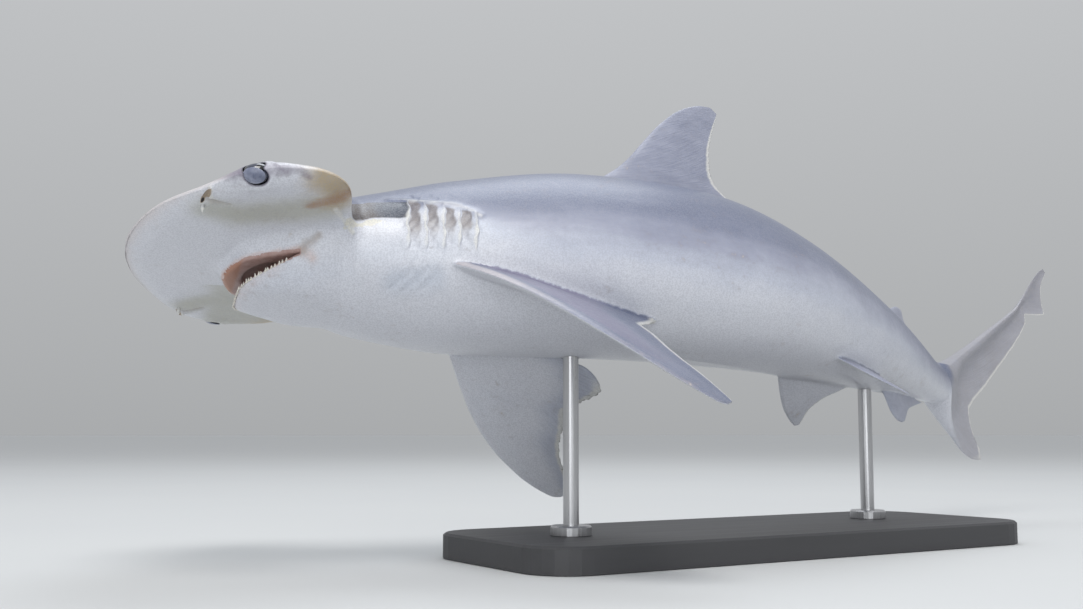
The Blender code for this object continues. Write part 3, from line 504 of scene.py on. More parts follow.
PECTORAL = (
    (-0.018, -0.014, 0.050, -0.015), (-0.012, -0.002, 0.066, -0.0150), (-0.0050, 0.0080, 0.0835, -0.0140),
    (-0.0008, 0.0145, 0.0960, -0.0070), (0.0035, 0.0225, 0.1006, 0.0015), (0.0080, 0.0310, 0.0965, 0.0085),
    (0.0135, 0.0405, 0.0885, 0.0178), (0.0200, 0.0515, 0.0825, 0.0268), (0.0275, 0.0620, 0.0850, 0.0395),
    (0.0365, 0.0725, 0.0858, 0.0526), (0.0470, 0.0822, 0.0895, 0.0665), (0.0590, 0.0905, 0.0945, 0.0755),
    (0.0720, 0.0978, 0.0982, 0.0825), (0.0850, 0.1022, 0.1010, 0.0885), (0.0930, 0.1036, 0.1030, 0.0930),
    (0.0985, 0.1018, 0.1040, 0.0962))
PELVIC = (
    (-0.004, -0.012, 0.050, -0.016), (0.0005, -0.006, 0.064, -0.0125), (0.0050, -0.0008, 0.0781, -0.0068),
    (0.0095, 0.0048, 0.0862, -0.0022), (0.0150, 0.0112, 0.0800, 0.0044), (0.0215, 0.0185, 0.0670, 0.0105),
    (0.0290, 0.0258, 0.0580, 0.0184), (0.0365, 0.0315, 0.0540, 0.0260), (0.0430, 0.0357, 0.0535, 0.0325),
    (0.0480, 0.0383, 0.0530, 0.0372))
FIN_EDGE = 0.0005


def foil(rows, thick, count, chord, fray, pace):
    """Points, faces and marks of a fin drawn flat: x back, y out and z its thickness."""
    share, fine_edge = fine_rows(rows, count)
    across = (1 - np.cos(np.linspace(0, 1, chord) * math.pi * 0.5)) ** 0.85
    x0, y0, x1, y1 = fine_edge.T[:, :, None]
    nick = ragged(share, fray, pace)[:, None] * across ** 8
    x = x0 + (x1 - x0) * across + nick
    y = y0 + (y1 - y0) * across + nick * 0.6
    length = np.hypot(x1 - x0, y1 - y0)
    profile = np.minimum(1, across / 0.28) ** 0.5 * np.clip(1 - across, 0, 1) ** 0.9 * 1.35
    most = np.minimum(thick * (1 - 0.72 * share[:, None]), length * 0.09) / 2
    half = most * np.minimum(profile, 1) + FIN_EDGE / 2 * np.minimum(1, across / 0.05)
    half[:, 0] = 0
    half[:, -1] = 0
    here = np.stack([x, y, half], -1)
    there = np.stack([x, y, -half], -1)[:, -2:0:-1]
    grid = np.concatenate([here, there], 1)
    around = grid.shape[1]
    points = np.concatenate([grid.reshape(-1, 3), grid[[0, -1]].mean(1)])
    grain = np.append(np.tile(np.concatenate([across, across[-2:0:-1]]), count), [0.5, 0.5])
    reach = np.append(np.repeat(share, around), [0, 1])
    face = np.append(np.tile(np.sign(grid[0, :, 2]), count), [0, 0])
    marks = np.stack([grain, reach, face], 1)
    return points, tube(count, around), caps(count, around, len(points)), marks


def midline(points):
    """A fin of the midline: x runs along s and y along h."""
    rest = np.stack([points[:, 0], points[:, 2], points[:, 1]], 1)
    return rest, place(rest)


def sideways(station, origin, chord_way, span_way, bow, twist, size):
    """A paired fin, from where it starts and which way its chord and its span run."""
    chord_way = np.array(chord_way) / np.linalg.norm(chord_way)
    span_way = np.array(span_way) - chord_way * np.dot(chord_way, span_way)
    span_way = span_way / np.linalg.norm(span_way)
    out = np.cross(chord_way, span_way)

    def where(points):
        x = points[:, 0:1] * size
        y = points[:, 1:2] * size
        lift = bow * y * y + twist * x * y + points[:, 2:3]
        local = np.array(origin) + x * chord_way + y * span_way + lift * out
        return local + (station, 0, 0), turned(station, local)

    return where


FINS = (
    (DORSAL, FIRST_DORSAL, 0.0105, 150, 110, 0.0003, 150, 1, midline),
    (LOWER, SECOND_DORSAL, 0.005, 90, 80, 0.0002, 160, 1, midline),
    (LOWER, ANAL, 0.005, 90, 80, 0.0002, 150, 1, midline),
    (PECTORAL_FIN, PECTORAL, 0.0085, 170, 120, 0.0002, 120, 1, sideways(
        0.2055, (0.0, 0.0535, -0.0295), (0.956, -0.236, -0.177), (0.130, 0.875, -0.457),
        -0.866, -1.44, 1.185)),
    (PECTORAL_FIN, PECTORAL, 0.0085, 170, 120, 0.0004, 150, -1, sideways(
        0.2055, (0.0, -0.0535, -0.033), (0.929, 0.065, -0.365), (-0.132, -0.862, -0.489), 0.0, 0.0, 1.0)),
    (PELVIC_FIN, PELVIC, 0.0045, 90, 80, 0.0002, 150, 1, sideways(
        0.461, (0.0, 0.026, -0.045), (0.986, -0.15, 0.073), (0.161, 0.742, -0.651), 0.0, 0.0, 1.0)),
    (PELVIC_FIN, PELVIC, 0.0045, 90, 80, 0.0002, 150, -1, sideways(
        0.461, (0.0, -0.026, -0.045), (0.986, 0.15, 0.073), (0.161, -0.742, -0.651), 0.0, 0.0, 1.0)),
)
known_points = [skin_points]
known_rest = [skin_rest]
known_share = [np.column_stack([kind, front_share, tip_share, np.zeros(len(kind))])]
for sort, rows, thick, count, chord, fray, pace, up_side, where in FINS:
    flat, fin_quads, fin_thirds, marks = foil(rows, thick, count, chord, fray, pace)
    marks[:, 2] *= up_side
    rest, points = where(flat)
    fin = closed_piece("fin", points, fin_quads, fin_thirds)
    known_points.append(points)
    known_rest.append(rest)
    known_share.append(np.column_stack([np.full(len(points), sort), marks]))
    combine(skin, fin, "UNION")

# The mouth: a wedge opened between the jaws and hinged at their corners, with the
# arch of the palate and the gullet hollowed out behind it.
MOUTH_CORNER = (0.0980, -0.0160)
UPPER_SLOPE = 0.03
LOWER_SLOPE = 0.405


def ball(centre, radii, around=72, rings=40):
    """Points and faces of an ellipsoid in straight-shark coordinates."""
    slope = np.linspace(0, math.pi, rings + 1)[1:-1, None]
    way = np.arange(around) / around * 2 * math.pi
    flat = [-np.cos(slope) + 0 * way, np.sin(slope) * np.cos(way), np.sin(slope) * np.sin(way)]
    unit = np.concatenate([np.stack(flat, -1).reshape(-1, 3), [[-1, 0, 0], [1, 0, 0]]])
    points = np.array(centre) + unit * radii
    return points, tube(rings - 1, around), caps(rings - 1, around, len(points))


def upper_plane(s):
    return MOUTH_CORNER[1] - UPPER_SLOPE * (MOUTH_CORNER[0] - s)


def lower_plane(s):
    return MOUTH_CORNER[1] - LOWER_SLOPE * (MOUTH_CORNER[0] - s)


def mouth_wedge():
    """The open space between the jaws, in fine steps so that its roof can be shaped."""
    s = MOUTH_CORNER[0] - 0.053 * np.linspace(0, 1, 90) ** 1.2
    roof = np.stack([s, upper_plane(s)], 1)
    floor = np.stack([s, lower_plane(s)], 1)[::-1]
    front = np.linspace(roof[-1], floor[0], 24)[1:-1]
    loop = np.concatenate([roof, front, floor[:-1]])
    wide = np.linspace(-0.064, 0.064, 170)
    points = np.array([[(u, a, v) for u, v in loop] for a in wide])
    points = np.concatenate([points.reshape(-1, 3), points[[0, -1]].mean(1)])
    return points, tube(len(wide), len(loop)), caps(len(wide), len(loop), len(points))


inner_points = []
inner_rest = []


def cut_away(name, points, cut_quads, cut_thirds):
    """Takes a closed shape out of the skin and notes its points as the inside."""
    inner_points.append(place(points))
    inner_rest.append(points)
    combine(skin, closed_piece(name, place(points), cut_quads, cut_thirds), "DIFFERENCE")


cut_away("mouth", *mouth_wedge())
cut_away("palate", *ball((0.0875, 0.0, -0.0195), (0.019, 0.024, 0.0095), 120, 70))
cut_away("gullet", *ball((0.105, 0.0, -0.021), (0.016, 0.015, 0.006)))

# Eye sockets and nostrils, cut into the rim of the hammer on both sides. Each nostril
# is a slanting slot with a pointed flap of skin hanging over its inner end.
EYE_RADII = (0.0080, 0.0058, 0.0054)
SOCKET_ROOM = 0.0005
NOSTRIL_AT = (0.0410, 0.0805, -0.0074)
NOSTRIL_RADII = (0.0014, 0.0074, 0.0032)
NOSTRIL_SLANT = 0.22
FLAP_AT = (0.0402, 0.0705, -0.0084)
FLAP_RADII = (0.0012, 0.0020, 0.0036)
for side in (1, -1):
    centre = (EYE_AT[0], side * EYE_AT[1], EYE_AT[2])
    cut_away("socket", *ball(centre, np.array(EYE_RADII) + SOCKET_ROOM))
    points, cut_quads, cut_thirds = ball((NOSTRIL_AT[0], 0, NOSTRIL_AT[2]), NOSTRIL_RADII, 64, 48)
    points[:, 0] += NOSTRIL_SLANT * points[:, 1]
    points[:, 1] = side * (NOSTRIL_AT[1] + points[:, 1])
    cut_away("nostril", points, cut_quads, cut_thirds)
    points, cut_quads, cut_thirds = ball((0, 0, 0), FLAP_RADII, 40, 30)
    slim = 1 - 0.75 * ramp(-points[:, 2], 0.0, FLAP_RADII[2])
    points = points * np.stack([slim, slim, np.ones(len(slim))], 1)
    points = points + (FLAP_AT[0], side * FLAP_AT[1], FLAP_AT[2])
    known_points.append(place(points))
    known_rest.append(points)
    known_share.append(np.zeros((len(points), 4)))
    combine(skin, closed_piece("nostril flap", place(points), cut_quads, cut_thirds), "UNION")

# Each point of the joined surface takes the name of the point it came from. Those
# that came from none lie on a join, and the join is worked smooth like a fillet.
SAME_POINT = 2e-6


def tree_of(points):
    tree = kdtree.KDTree(len(points))
    for n, point in enumerate(points):
        tree.insert(point, n)
    tree.balance()
    return tree


inner_from = sum(len(p) for p in known_points)
known = np.concatenate(known_points + inner_points)
known_tree = tree_of(known)
points = points_of(skin)
found = [known_tree.find(point)[1:] for point in points]
source = np.array([f[0] for f in found])
is_join = np.array([f[1] for f in found]) > SAME_POINT
inner = source >= inner_from
rest = np.concatenate(known_rest + inner_rest)[source]
shares = np.concatenate(known_share + [np.zeros((len(known) - inner_from, 4))])[source]
join_tree = tree_of(points[is_join])
join_far = np.array([join_tree.find(point)[2] for point in points])
edges = np.empty(len(skin.data.edges) * 2, np.int32)
skin.data.edges.foreach_get("vertices", edges)
edges = edges.reshape(-1, 2)


def worked_smooth(points, weight, rounds):
    """Points drawn towards the middle of their neighbours where the weight says."""
    busy = (weight[edges[:, 0]] > 0) | (weight[edges[:, 1]] > 0)
    first, second = edges[busy].T
    count = np.bincount(first, minlength=len(points)) + np.bincount(second, minlength=len(points))
    count = np.maximum(count, 1)
    for _ in range(rounds):
        for k in range(3):
            total = np.bincount(first, points[second, k], len(points))
            total += np.bincount(second, points[first, k], len(points))
            points[:, k] += weight * 0.5 * (total / count - points[:, k])
    return points


of_head = (rest[:, 0] < 0.15) & (shares[:, 0] == BODY)
fin_join = np.where(of_head, 0, 1 - ramp(join_far, 0.004, 0.012))
points = worked_smooth(points, fin_join, 45)
head_join = np.where(of_head, 1 - ramp(join_far, 0.0010, 0.0034), 0)
head_join = head_join * (1 - 0.75 * (rest[:, 0] < 0.047))
points = worked_smooth(points, head_join, 30)
skin.data.vertices.foreach_set("co", points.astype(np.float32).ravel())
skin.data.update()

# Where each colour lies: numbers from 0 to 1, computed from the place on the shark.
s, a, h = rest.T
sort, front_share, tip_share, face_side = shares.T
side = np.stack([s, np.abs(a), h], 1)
beside = side[:, 1]
is_fin = (sort > 0) & (sort != TAIL)
level = np.where(h > 0, h / curve(BODY_AT, BODY_TOP, s), h / curve(BODY_AT, BODY_LOW, s))
on_hammer = 1 - ramp(s, 0.114, 0.124)
SHADE_AT = (0.0, 0.19, 0.225, 0.26, 0.45, 0.60, 0.76)
low_edge = curve(SHADE_AT, (0.10, 0.00, -0.60, -0.95, -1.00, -1.05, -1.10), s)
high_edge = curve(SHADE_AT, (0.50, 0.46, 0.56, 0.72, 0.72, 0.62, 0.55), s)
tone = ramp((level - low_edge) / (high_edge - low_edge), 0, 1)
tone = tone * (1 - on_hammer) + on_hammer * ramp(h, 0.0046, 0.0085)
in_tail = (sort == TAIL) * ramp(tip_share, 0.02, 0.16)
tone = tone * (1 - in_tail) + in_tail * (0.55 + 0.20 * ramp(1 - front_share, 0.2, 0.9))
dorsal_face = is_fin * ramp(face_side, -0.2, 0.2)
FIN_TONES = ((DORSAL, 0.62, 0.62), (LOWER, 0.50, 0.50), (PECTORAL_FIN, 0.80, 0.06), (PELVIC_FIN, 0.6, 0.1))
from_root = ramp(tip_share, 0.0, 0.10)
for fin_kind, above, below in FIN_TONES:
    darker_rear = 0.30 * ramp(front_share, 0.6, 0.9) * (fin_kind == PECTORAL_FIN)
    of_fin = below + (above - below) * dorsal_face + darker_rear
    tone = np.where(sort == fin_kind, tone * (1 - from_root) + from_root * of_fin, tone)


def stroke(half, *path):
    """A brush stroke of colour along a path, the same on both sides of the shark."""
    return near_path(side, path, half)


paints = {"tone": tone}
thin_edge = ramp(front_share, 0.90, 0.985) * ramp(tip_share, 0.12, 0.3)
paints["pale_edge"] = np.where(is_fin | (sort == TAIL), thin_edge, 0)
paints["mouth"] = inner & (beside < 0.055) & (s > 0.045)
# Inside of the eye sockets: painted near black as painted shade in the gap round each eye.
paints["socket"] = inner & (beside > 0.088) & (s > 0.052)
# Inside each nostril: beige-brown, partly the lining's colour and partly painted shade of the slot, going
# black as painted shade at the deep inner end.
paints["nostril"] = inner & (beside > 0.062) & (s < 0.047)
paints["nostril"] = paints["nostril"] * (0.5 + 0.5 * ramp(0.0772 - beside, 0, 0.002))
underside = ramp(-h, 0.002, 0.004) * (1 - ramp(s, 0.118, 0.13))
# Painted shade: an olive wash in the hollow between the hammer's rim and the jaw bulge and under the right
# lobe, standing for the shade there with a green reflected tint.
valley = stroke((0.013, 0.018), (0.046, 0.066, -0.007), (0.0616, 0.0592, -0.0055),
                (0.075, 0.064, -0.0053), (0.089, 0.068, -0.0052), (0.103, 0.073, -0.0052))
right_lobe = (a < -0.03) * ramp(s, 0.045, 0.065) * underside
paints["olive"] = np.maximum(valley, right_lobe * 0.9)
paints["ochre"] = stroke(0.0135, (0.101, 0.101, -0.002), (0.110, 0.093, -0.002), (0.112, 0.083, -0.004))
paints["rust"] = stroke((0.0050, 0.0075), (0.098, 0.0750, -0.0052), (0.106, 0.081, -0.0052),
                        (0.1125, 0.084, -0.0030))
by_eye = (beside > 0.086) & (np.abs(s - EYE_AT[0]) < 0.013) & ~inner
around_eye = by_eye * (1 - ramp(join_far, 0.0006, 0.0024))
rim_front = stroke((0.0040, 0.0060), (0.044, 0.087, 0.003), (0.050, 0.0925, 0.002), (0.0590, 0.0985, 0.001))
rim_rear = stroke((0.0050, 0.0030), (0.072, 0.1035, 0.0), (0.0784, 0.1048, -0.0005),
                  (0.0862, 0.1042, -0.001), (0.0922, 0.1019, -0.002))
paints["purple"] = np.maximum.reduce([around_eye * 0.95, rim_front, rim_rear * 0.6])
paints["navy"] = by_eye * (1 - ramp(join_far, 0.0002, 0.0015))
# Painted shade: a dark slate patch on the top of the neck just behind each lobe of the hammer, where the lobe
# shades it.
low_line = curve((0.112, 0.120, 0.130, 0.140, 0.158), (-0.006, -0.0035, -0.0005, 0.0025, 0.0015), s)
high_line = curve((0.112, 0.125, 0.140, 0.150, 0.162), (0.004, 0.012, 0.019, 0.0185, 0.0165), s)
behind_lobe = ramp(s, 0.114, 0.122) * (1 - ramp(s, 0.1590, 0.1615))
behind_lobe = behind_lobe * (beside > 0.03) * (1 - ramp(beside, 0.056, 0.066))
lobe_shade_height = ramp(h, low_line - 0.001, low_line + 0.003) * (1 - ramp(h, high_line - 0.002, high_line))
paints["slate"] = behind_lobe * lobe_shade_height
# Gill bands: the dark skin just behind each slit, made darker as painted shade in the recess behind each
# flap, fading towards the lower ends of the slits.
share, number = gill_bands(s)
window = gill_window(s, h) * (beside > 0.02) * (number >= 0)
upper_half = 0.25 + 0.75 * ramp(h, -0.016, 0.004)
band = ramp(share, 0.00, 0.08) * (1 - ramp(share, 0.50, 0.80)) * (number > 0) * (number < len(GILLS))
last_band = 0.5 * (number == len(GILLS)) * (1 - share) ** 3
paints["gill_band"] = ramp(window, 0.0, 0.5) * upper_half * (band + last_band)
# Pale cream on the gill flaps' edges, the ridge over the gills, the neck ridge, the nostril rims and flaps:
# partly pale skin, partly painted highlight where light catches the raised edges.
flap_edge = ramp(share, 0.72, 0.92) * (number < len(GILLS)) * window
ridge = near_path(side, GILL_RIDGE, (0.0012, 0.0026, 0.0034, 0.0030, 0.0022, 0.0014))
neck = near_path(side, NECK_RIDGE, 0.0017)
nostril_rim = near_path(side, NOSTRIL_RIM, 0.0014)
flap = (np.abs(s - FLAP_AT[0]) < 0.002) & (np.abs(beside - 0.070) < 0.0026) & (h < -0.0088)
paints["cream"] = np.maximum.reduce([flap_edge * 0.9, ridge * 0.62, neck, nostril_rim, flap])
below_patch = behind_lobe * bump(h, low_line - 0.0020, 0.0022)
paints["cream_specks"] = below_patch * (1 - ramp(s, 0.142, 0.152))
by_mouth = (s > 0.05) & (s < 0.0985) & (beside < 0.046) & (h < -0.006) & ~inner
lips = by_mouth * (1 - ramp(join_far, 0.0004, 0.0036)) * (h > upper_plane(s) - 0.0015)
corner = stroke(0.0038, (0.0985, 0.0405, -0.0165), (0.1020, 0.0408, -0.0178), (0.1045, 0.0405, -0.0205))
chin = stroke(0.0060, (0.0640, 0.0, -0.0305), (0.0670, 0.0121, -0.0287), (0.0742, 0.0238, -0.0260),
              (0.0844, 0.0314, -0.0222))
snout_edge = bump(h, 0.0, 0.004) * (1 - ramp(s, 0.040, 0.060)) * (s < 0.07)
paints["pink"] = np.maximum.reduce([lips * 0.95, corner * 0.60, chin * 0.35])
paints["mouth_front"] = inner * (beside < 0.05) * (s > 0.045) * (1 - ramp(s, 0.064, 0.070))
# Painted shade: brown in the crease of the labial fold, along each nostril groove and in the recess before
# each nostril.
mouth_fold = near_path(side, LABIAL_FOLD, (0.0036, 0.0030)) * 0.75
groove = near_path(side, NOSTRIL_GROOVE, (0.0034, 0.0014)) * 0.55
shade = stroke(0.0026, (0.0372, 0.0860, -0.005), (0.0375, 0.079, -0.0075)) * 0.6
paints["fold"] = np.maximum.reduce([mouth_fold, groove, shade])
# The tail fin's own paler warm grey, lightened further as painted light, as if the fin stood in bright light.
paints["tail"] = in_tail
# Painted shade: a bluish grey over the throat, the cheeks behind the hammer and the sides of the jaw, the
# pale underside as it looks in shade.
throat = stroke(0.011, (0.152, 0.045, -0.035), (0.178, 0.050, -0.033)) * 0.8
cheek = stroke(0.014, (0.135, 0.050, -0.020), (0.175, 0.056, -0.020), (0.215, 0.058, -0.006)) * 0.45
jaw_side = stroke(0.014, (0.080, 0.030, -0.031), (0.12, 0.045, -0.03)) * 0.45
paints["blue"] = np.maximum.reduce([throat, cheek, jaw_side])
fin_top = (sort == PECTORAL_FIN) * dorsal_face
stripe = (1 - ramp(front_share, 0.03, 0.11)) * (1 - 0.6 * ramp(tip_share, 0.25, 0.60))
stripe = fin_top * stripe * ramp(tip_share, 0.0, 0.05)
paints["lead"] = np.maximum(stripe * 0.8, snout_edge * 0.9)
behind_stripe = ramp(front_share, 0.06, 0.16) * (1 - ramp(front_share, 0.45, 0.80))
paints["plum"] = fin_top * behind_stripe * (1 - ramp(tip_share, 0.5, 0.9))


def spread_out(values, rounds=3):
    """Numbers of the skin's points shared with their neighbours, to soften an edge."""
    count = np.maximum(np.bincount(edges.ravel(), minlength=len(values)), 1)
    for _ in range(rounds):
        total = np.bincount(edges[:, 0], values[edges[:, 1]], len(values))
        total += np.bincount(edges[:, 1], values[edges[:, 0]], len(values))
        values = (values + total / count) / 2
    return values


for name in ("pink", "mouth", "mouth_front", "navy", "purple", "nostril", "cream", "tone"):
    paints[name] = spread_out(np.asarray(paints[name], float))


def mark(obj, name, values):
    """Stores a number, or a vector, for each point of a piece."""
    kind, slot = ("FLOAT", "value") if np.ndim(values) == 1 else ("FLOAT_VECTOR", "vector")
    layer = obj.data.attributes.new(name, kind, "POINT")
    layer.data.foreach_set(slot, values.astype(np.float32).ravel())


for name, values in paints.items():
    mark(skin, name, np.clip(values, 0, 1))
mark(skin, "rest", rest)
mark(skin, "rays", np.stack([front_share, tip_share - 0.35 * front_share, is_fin | (in_tail > 0.5)], 1))


class Wire:
    """A socket of a finish being made, which takes sums, differences and products."""

    def __init__(self, finish, socket):
        self.finish = finish
        self.socket = socket

    def maths(self, operation, *others):
        return self.finish.node("ShaderNodeMath", {"operation": operation}, dict(enumerate(others)))

    def __add__(self, other):
        return self.maths("ADD", self, other)

    def __sub__(self, other):
        return self.maths("SUBTRACT", self, other)

    def __rsub__(self, other):
        return self.maths("SUBTRACT", other, self)

    def __mul__(self, other):
        return self.maths("MULTIPLY", self, other)

    __radd__ = __add__
    __rmul__ = __mul__

    def step(self, low, high):
        """0 below low, 1 above high and smooth between them."""
        values = {0: self, 1: low, 2: high, 3: 0.0, 4: 1.0}
        return self.finish.node("ShaderNodeMapRange", {"interpolation_type": "SMOOTHSTEP"}, values)


class Finish:
    """A procedural finish, made of nodes: a material, or the light of the sky."""

    def __init__(self, name, among=bpy.data.materials, surface="Principled BSDF"):
        self.made = among.new(name)
        self.made.use_nodes = True
        self.tree = self.made.node_tree
        self.surface = self.tree.nodes[surface]

    def onto(self, obj):
        obj.data.materials.clear()
        obj.data.materials.append(self.made)

    def node(self, kind, settings=None, values=None, out=0):
        made = self.tree.nodes.new(kind)
        for name, value in (settings or {}).items():
            if name == "stops":
                ramp_stops = made.color_ramp.elements
                while len(ramp_stops) < len(value):
                    ramp_stops.new(0.5)
                for stop, (at, colour) in zip(ramp_stops, value):
                    stop.position = at
                    stop.color = (*colour, 1)
            else:
                setattr(made, name, value)
        for name, value in (values or {}).items():
            self.put(made.inputs[name], value)
        return Wire(self, made.outputs[out])

    def put(self, socket, value):
        if isinstance(value, Wire):
            self.tree.links.new(value.socket, socket)
        elif isinstance(value, tuple) and len(value) == 3 and socket.type == "RGBA":
            socket.default_value = (*value, 1)
        else:
            socket.default_value = value

    def set(self, **values):
        for name, value in values.items():
            self.put(self.surface.inputs[name.replace("_", " ")], value)

    def field(self, name, out=2):
        """A number painted on the mesh, or with out=1 a vector."""
        return self.node("ShaderNodeAttribute", {"attribute_name": name}, {}, out)

    def blend(self, share, first, second):
        return self.node("ShaderNodeMix", {"data_type": "RGBA"}, {0: share, 6: first, 7: second}, 2)

    def noise(self, where, scale, detail=3.0, rough=0.55):
        values = {"Vector": where, "Scale": scale, "Detail": detail, "Roughness": rough}
        return self.node("ShaderNodeTexNoise", {}, values)

    def stretched(self, where, by):
        return self.node("ShaderNodeVectorMath", {"operation": "MULTIPLY"}, {0: where, 1: by})

    def relief(self, height, strength, distance, under=None):
        values = {"Height": height, "Strength": strength, "Distance": distance}
        if under is not None:
            values["Normal"] = under
        return self.node("ShaderNodeBump", {}, values)


# The skin's finish: lavender grey above and off-white below with a fine speckle.
finish = Finish("satin_shark_skin")
here = finish.node("ShaderNodeTexCoord", out=3)
on_shark = finish.field("rest", 1)
cloud = finish.noise(on_shark, 26.0, 4.0)
streak = finish.noise(finish.stretched(on_shark, (16.0, 70.0, 70.0)), 1.0, 4.0)
mottle = finish.noise(on_shark, 190.0, 4.0, 0.65)
speckle = finish.noise(here, 1150.0, 2.0)
rays = finish.noise(finish.stretched(finish.field("rays", 1), (5.0, 120.0, 0.0)), 1.0, 2.0)
on_fin = finish.node("ShaderNodeSeparateXYZ", {}, {0: finish.field("rays", 1)}, 2)
tone = finish.field("tone") + (cloud - 0.5) * 0.30 + (streak - 0.5) * 0.26 + (mottle - 0.5) * 0.12
tone = tone + (rays - 0.5) * 0.30 * on_fin
colour = finish.node("ShaderNodeValToRGB", {"stops": [
    (0.0, (0.635, 0.645, 0.695)), (0.26, (0.490, 0.515, 0.595)), (0.60, (0.300, 0.316, 0.405)),
    (1.0, (0.112, 0.132, 0.210))]}, {0: tone.step(0.0, 1.0)})


def tint(name, paint, most=1.0, broken=0.5, start=0.15, full=0.85):
    """Lays a colour over the last one where the named number says, with a broken edge."""
    share = finish.field(name) + (mottle - 0.5) * broken + (cloud - 0.5) * broken * 0.6
    return finish.blend(share.step(start, full) * most, colour, paint)


# The painted shade behind the lobes: dark slate going over to dark brown, broken by the cloud noise.
slate = finish.blend(cloud.step(0.35, 0.6), (0.026, 0.036, 0.058), (0.085, 0.068, 0.056))
COATS = (
    # blue: painted shade on the throat, cheeks and jaw.
    ("blue", (0.370, 0.440, 0.550), 0.45, 0.6, 0.0, 1.1),
    # olive: painted shade with a green reflected tint, in the hollow under the hammer.
    ("olive", (0.330, 0.320, 0.210), 0.62, 0.35, 0.0, 1.1),
    ("ochre", (0.400, 0.300, 0.160), 0.85, 0.5, 0.0, 1.0),
    ("rust", (0.300, 0.145, 0.055), 0.70, 0.8, 0.05, 1.1),
    ("purple", (0.150, 0.120, 0.175), 0.85, 0.9, 0.1, 0.9),
    ("navy", (0.020, 0.020, 0.038), 0.95, 0.3, 0.15, 0.8),
    ("slate", slate, 0.97, 0.5, 0.1, 0.6),
    # gill bands: dark slit skin, and painted shade in the recess behind each flap.
    ("gill_band", (0.150, 0.125, 0.118), 0.85, 0.9, 0.15, 1.0),
    # cream: pale skin on raised edges, partly painted highlight along the ridges.
    ("cream", (0.690, 0.680, 0.640), 0.85, 0.7, 0.15, 1.0),
    ("cream_specks", (0.640, 0.610, 0.500), 0.75, 2.2, 0.5, 0.8),
    ("pink", (0.560, 0.300, 0.200), 0.75, 0.5, 0.05, 1.15),
    # fold: painted shade in the creases by the mouth and nostrils.
    ("fold", (0.250, 0.175, 0.105), 0.70, 0.5, 0.05, 1.1),
    # tail: the fin's paler grey, lightened further as painted light.
    ("tail", (0.400, 0.375, 0.355), 0.55, 0.9, 0.1, 1.2),
    ("plum", (0.215, 0.190, 0.285), 0.60, 0.8, 0.1, 1.0),
    ("lead", (0.600, 0.540, 0.530), 0.70, 0.6, 0.1, 1.0),
    ("pale_edge", (0.690, 0.680, 0.640), 0.85, 0.5),
)
for coat in COATS:
    colour = tint(*coat)
colour = finish.blend((speckle - 0.40).step(0.0, 0.22) * 0.30, colour, (0.300, 0.305, 0.350))
roof = finish.blend(mottle.step(0.3, 0.7), (0.330, 0.200, 0.175), (0.430, 0.300, 0.275))
HOLLOWS = (
    ("mouth", roof, 1.0, 0.0, 0.4, 0.6),
    ("mouth_front", (0.360, 0.155, 0.085), 0.85, 0.9, 0.2, 0.9),
    # nostril: beige-brown lining with painted shade, then black painted shade at the inner end.
    ("nostril", (0.330, 0.255, 0.180), 0.9, 0.0, 0.1, 0.5),
    ("nostril", (0.010, 0.008, 0.008), 1.0, 0.0, 0.75, 1.0),
    # socket: painted shade, near black in the gap round the eye.
    ("socket", (0.012, 0.012, 0.020), 1.0, 0.0, 0.3, 0.6),
)
for coat in HOLLOWS:
    colour = tint(*coat)
grain = finish.relief(speckle, 0.30, 0.0004)
ribs = finish.relief(rays * on_fin, 0.35, 0.0010, grain)
lumps = finish.relief(mottle, 0.12, 0.0015, ribs)
finish.set(Base_Color=colour, Roughness=0.30 + mottle * 0.16, Normal=lumps, Specular_IOR_Level=0.45,
           Coat_Weight=0.20, Coat_Roughness=0.25)
finish.onto(skin)
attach(skin, "root")
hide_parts("head", "lower_jaw", "throat", "trunk", "tail_stock", "caudal_fin", "first_dorsal_fin",
            "second_dorsal_fin", "anal_fin", "pectoral_fin_left", "pectoral_fin_right", "pelvic_fin_left",
            "pelvic_fin_right")

# Eyes. The living eye is dark with a narrow upright pupil; the model's are glass balls
# set in the ends of the hammer.
for side, word in ((1, "left"), (-1, "right")):
    centre = (EYE_AT[0], side * EYE_AT[1], EYE_AT[2])
    points, eye_quads, eye_thirds = ball(centre, EYE_RADII, 96, 60)
    eye = closed_piece("eyeball_" + word, place(points), eye_quads, eye_thirds)
    mark(eye, "rest", (points - centre) / EYE_RADII * (1, side, 1))
    finish = Finish("glassy_eye_" + word)
    axes = finish.field("rest", 1)
    east = finish.node("ShaderNodeSeparateXYZ", {}, {0: axes}, 0)
    north = finish.node("ShaderNodeSeparateXYZ", {}, {0: axes}, 2)
    threads = finish.noise(finish.stretched(axes, (9.0, 2.0, 9.0)), 1.0, 4.0)
    pupil = (east * east * 9.0 + north * north * 2.4).step(0.55, 0.85)
    iris = (east * east + north * north).step(0.62, 0.86)
    colour = finish.blend(threads, (0.018, 0.022, 0.042), (0.050, 0.058, 0.090))
    colour = finish.blend(pupil, (0.003, 0.003, 0.005), colour)
    colour = finish.blend(iris, colour, (0.010, 0.010, 0.016))
    finish.set(Base_Color=colour, Roughness=0.07 + threads * 0.06, Coat_Weight=0.5, Coat_Roughness=0.05)
    finish.onto(eye)
    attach(eye, "root")
    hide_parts("eye_" + word)

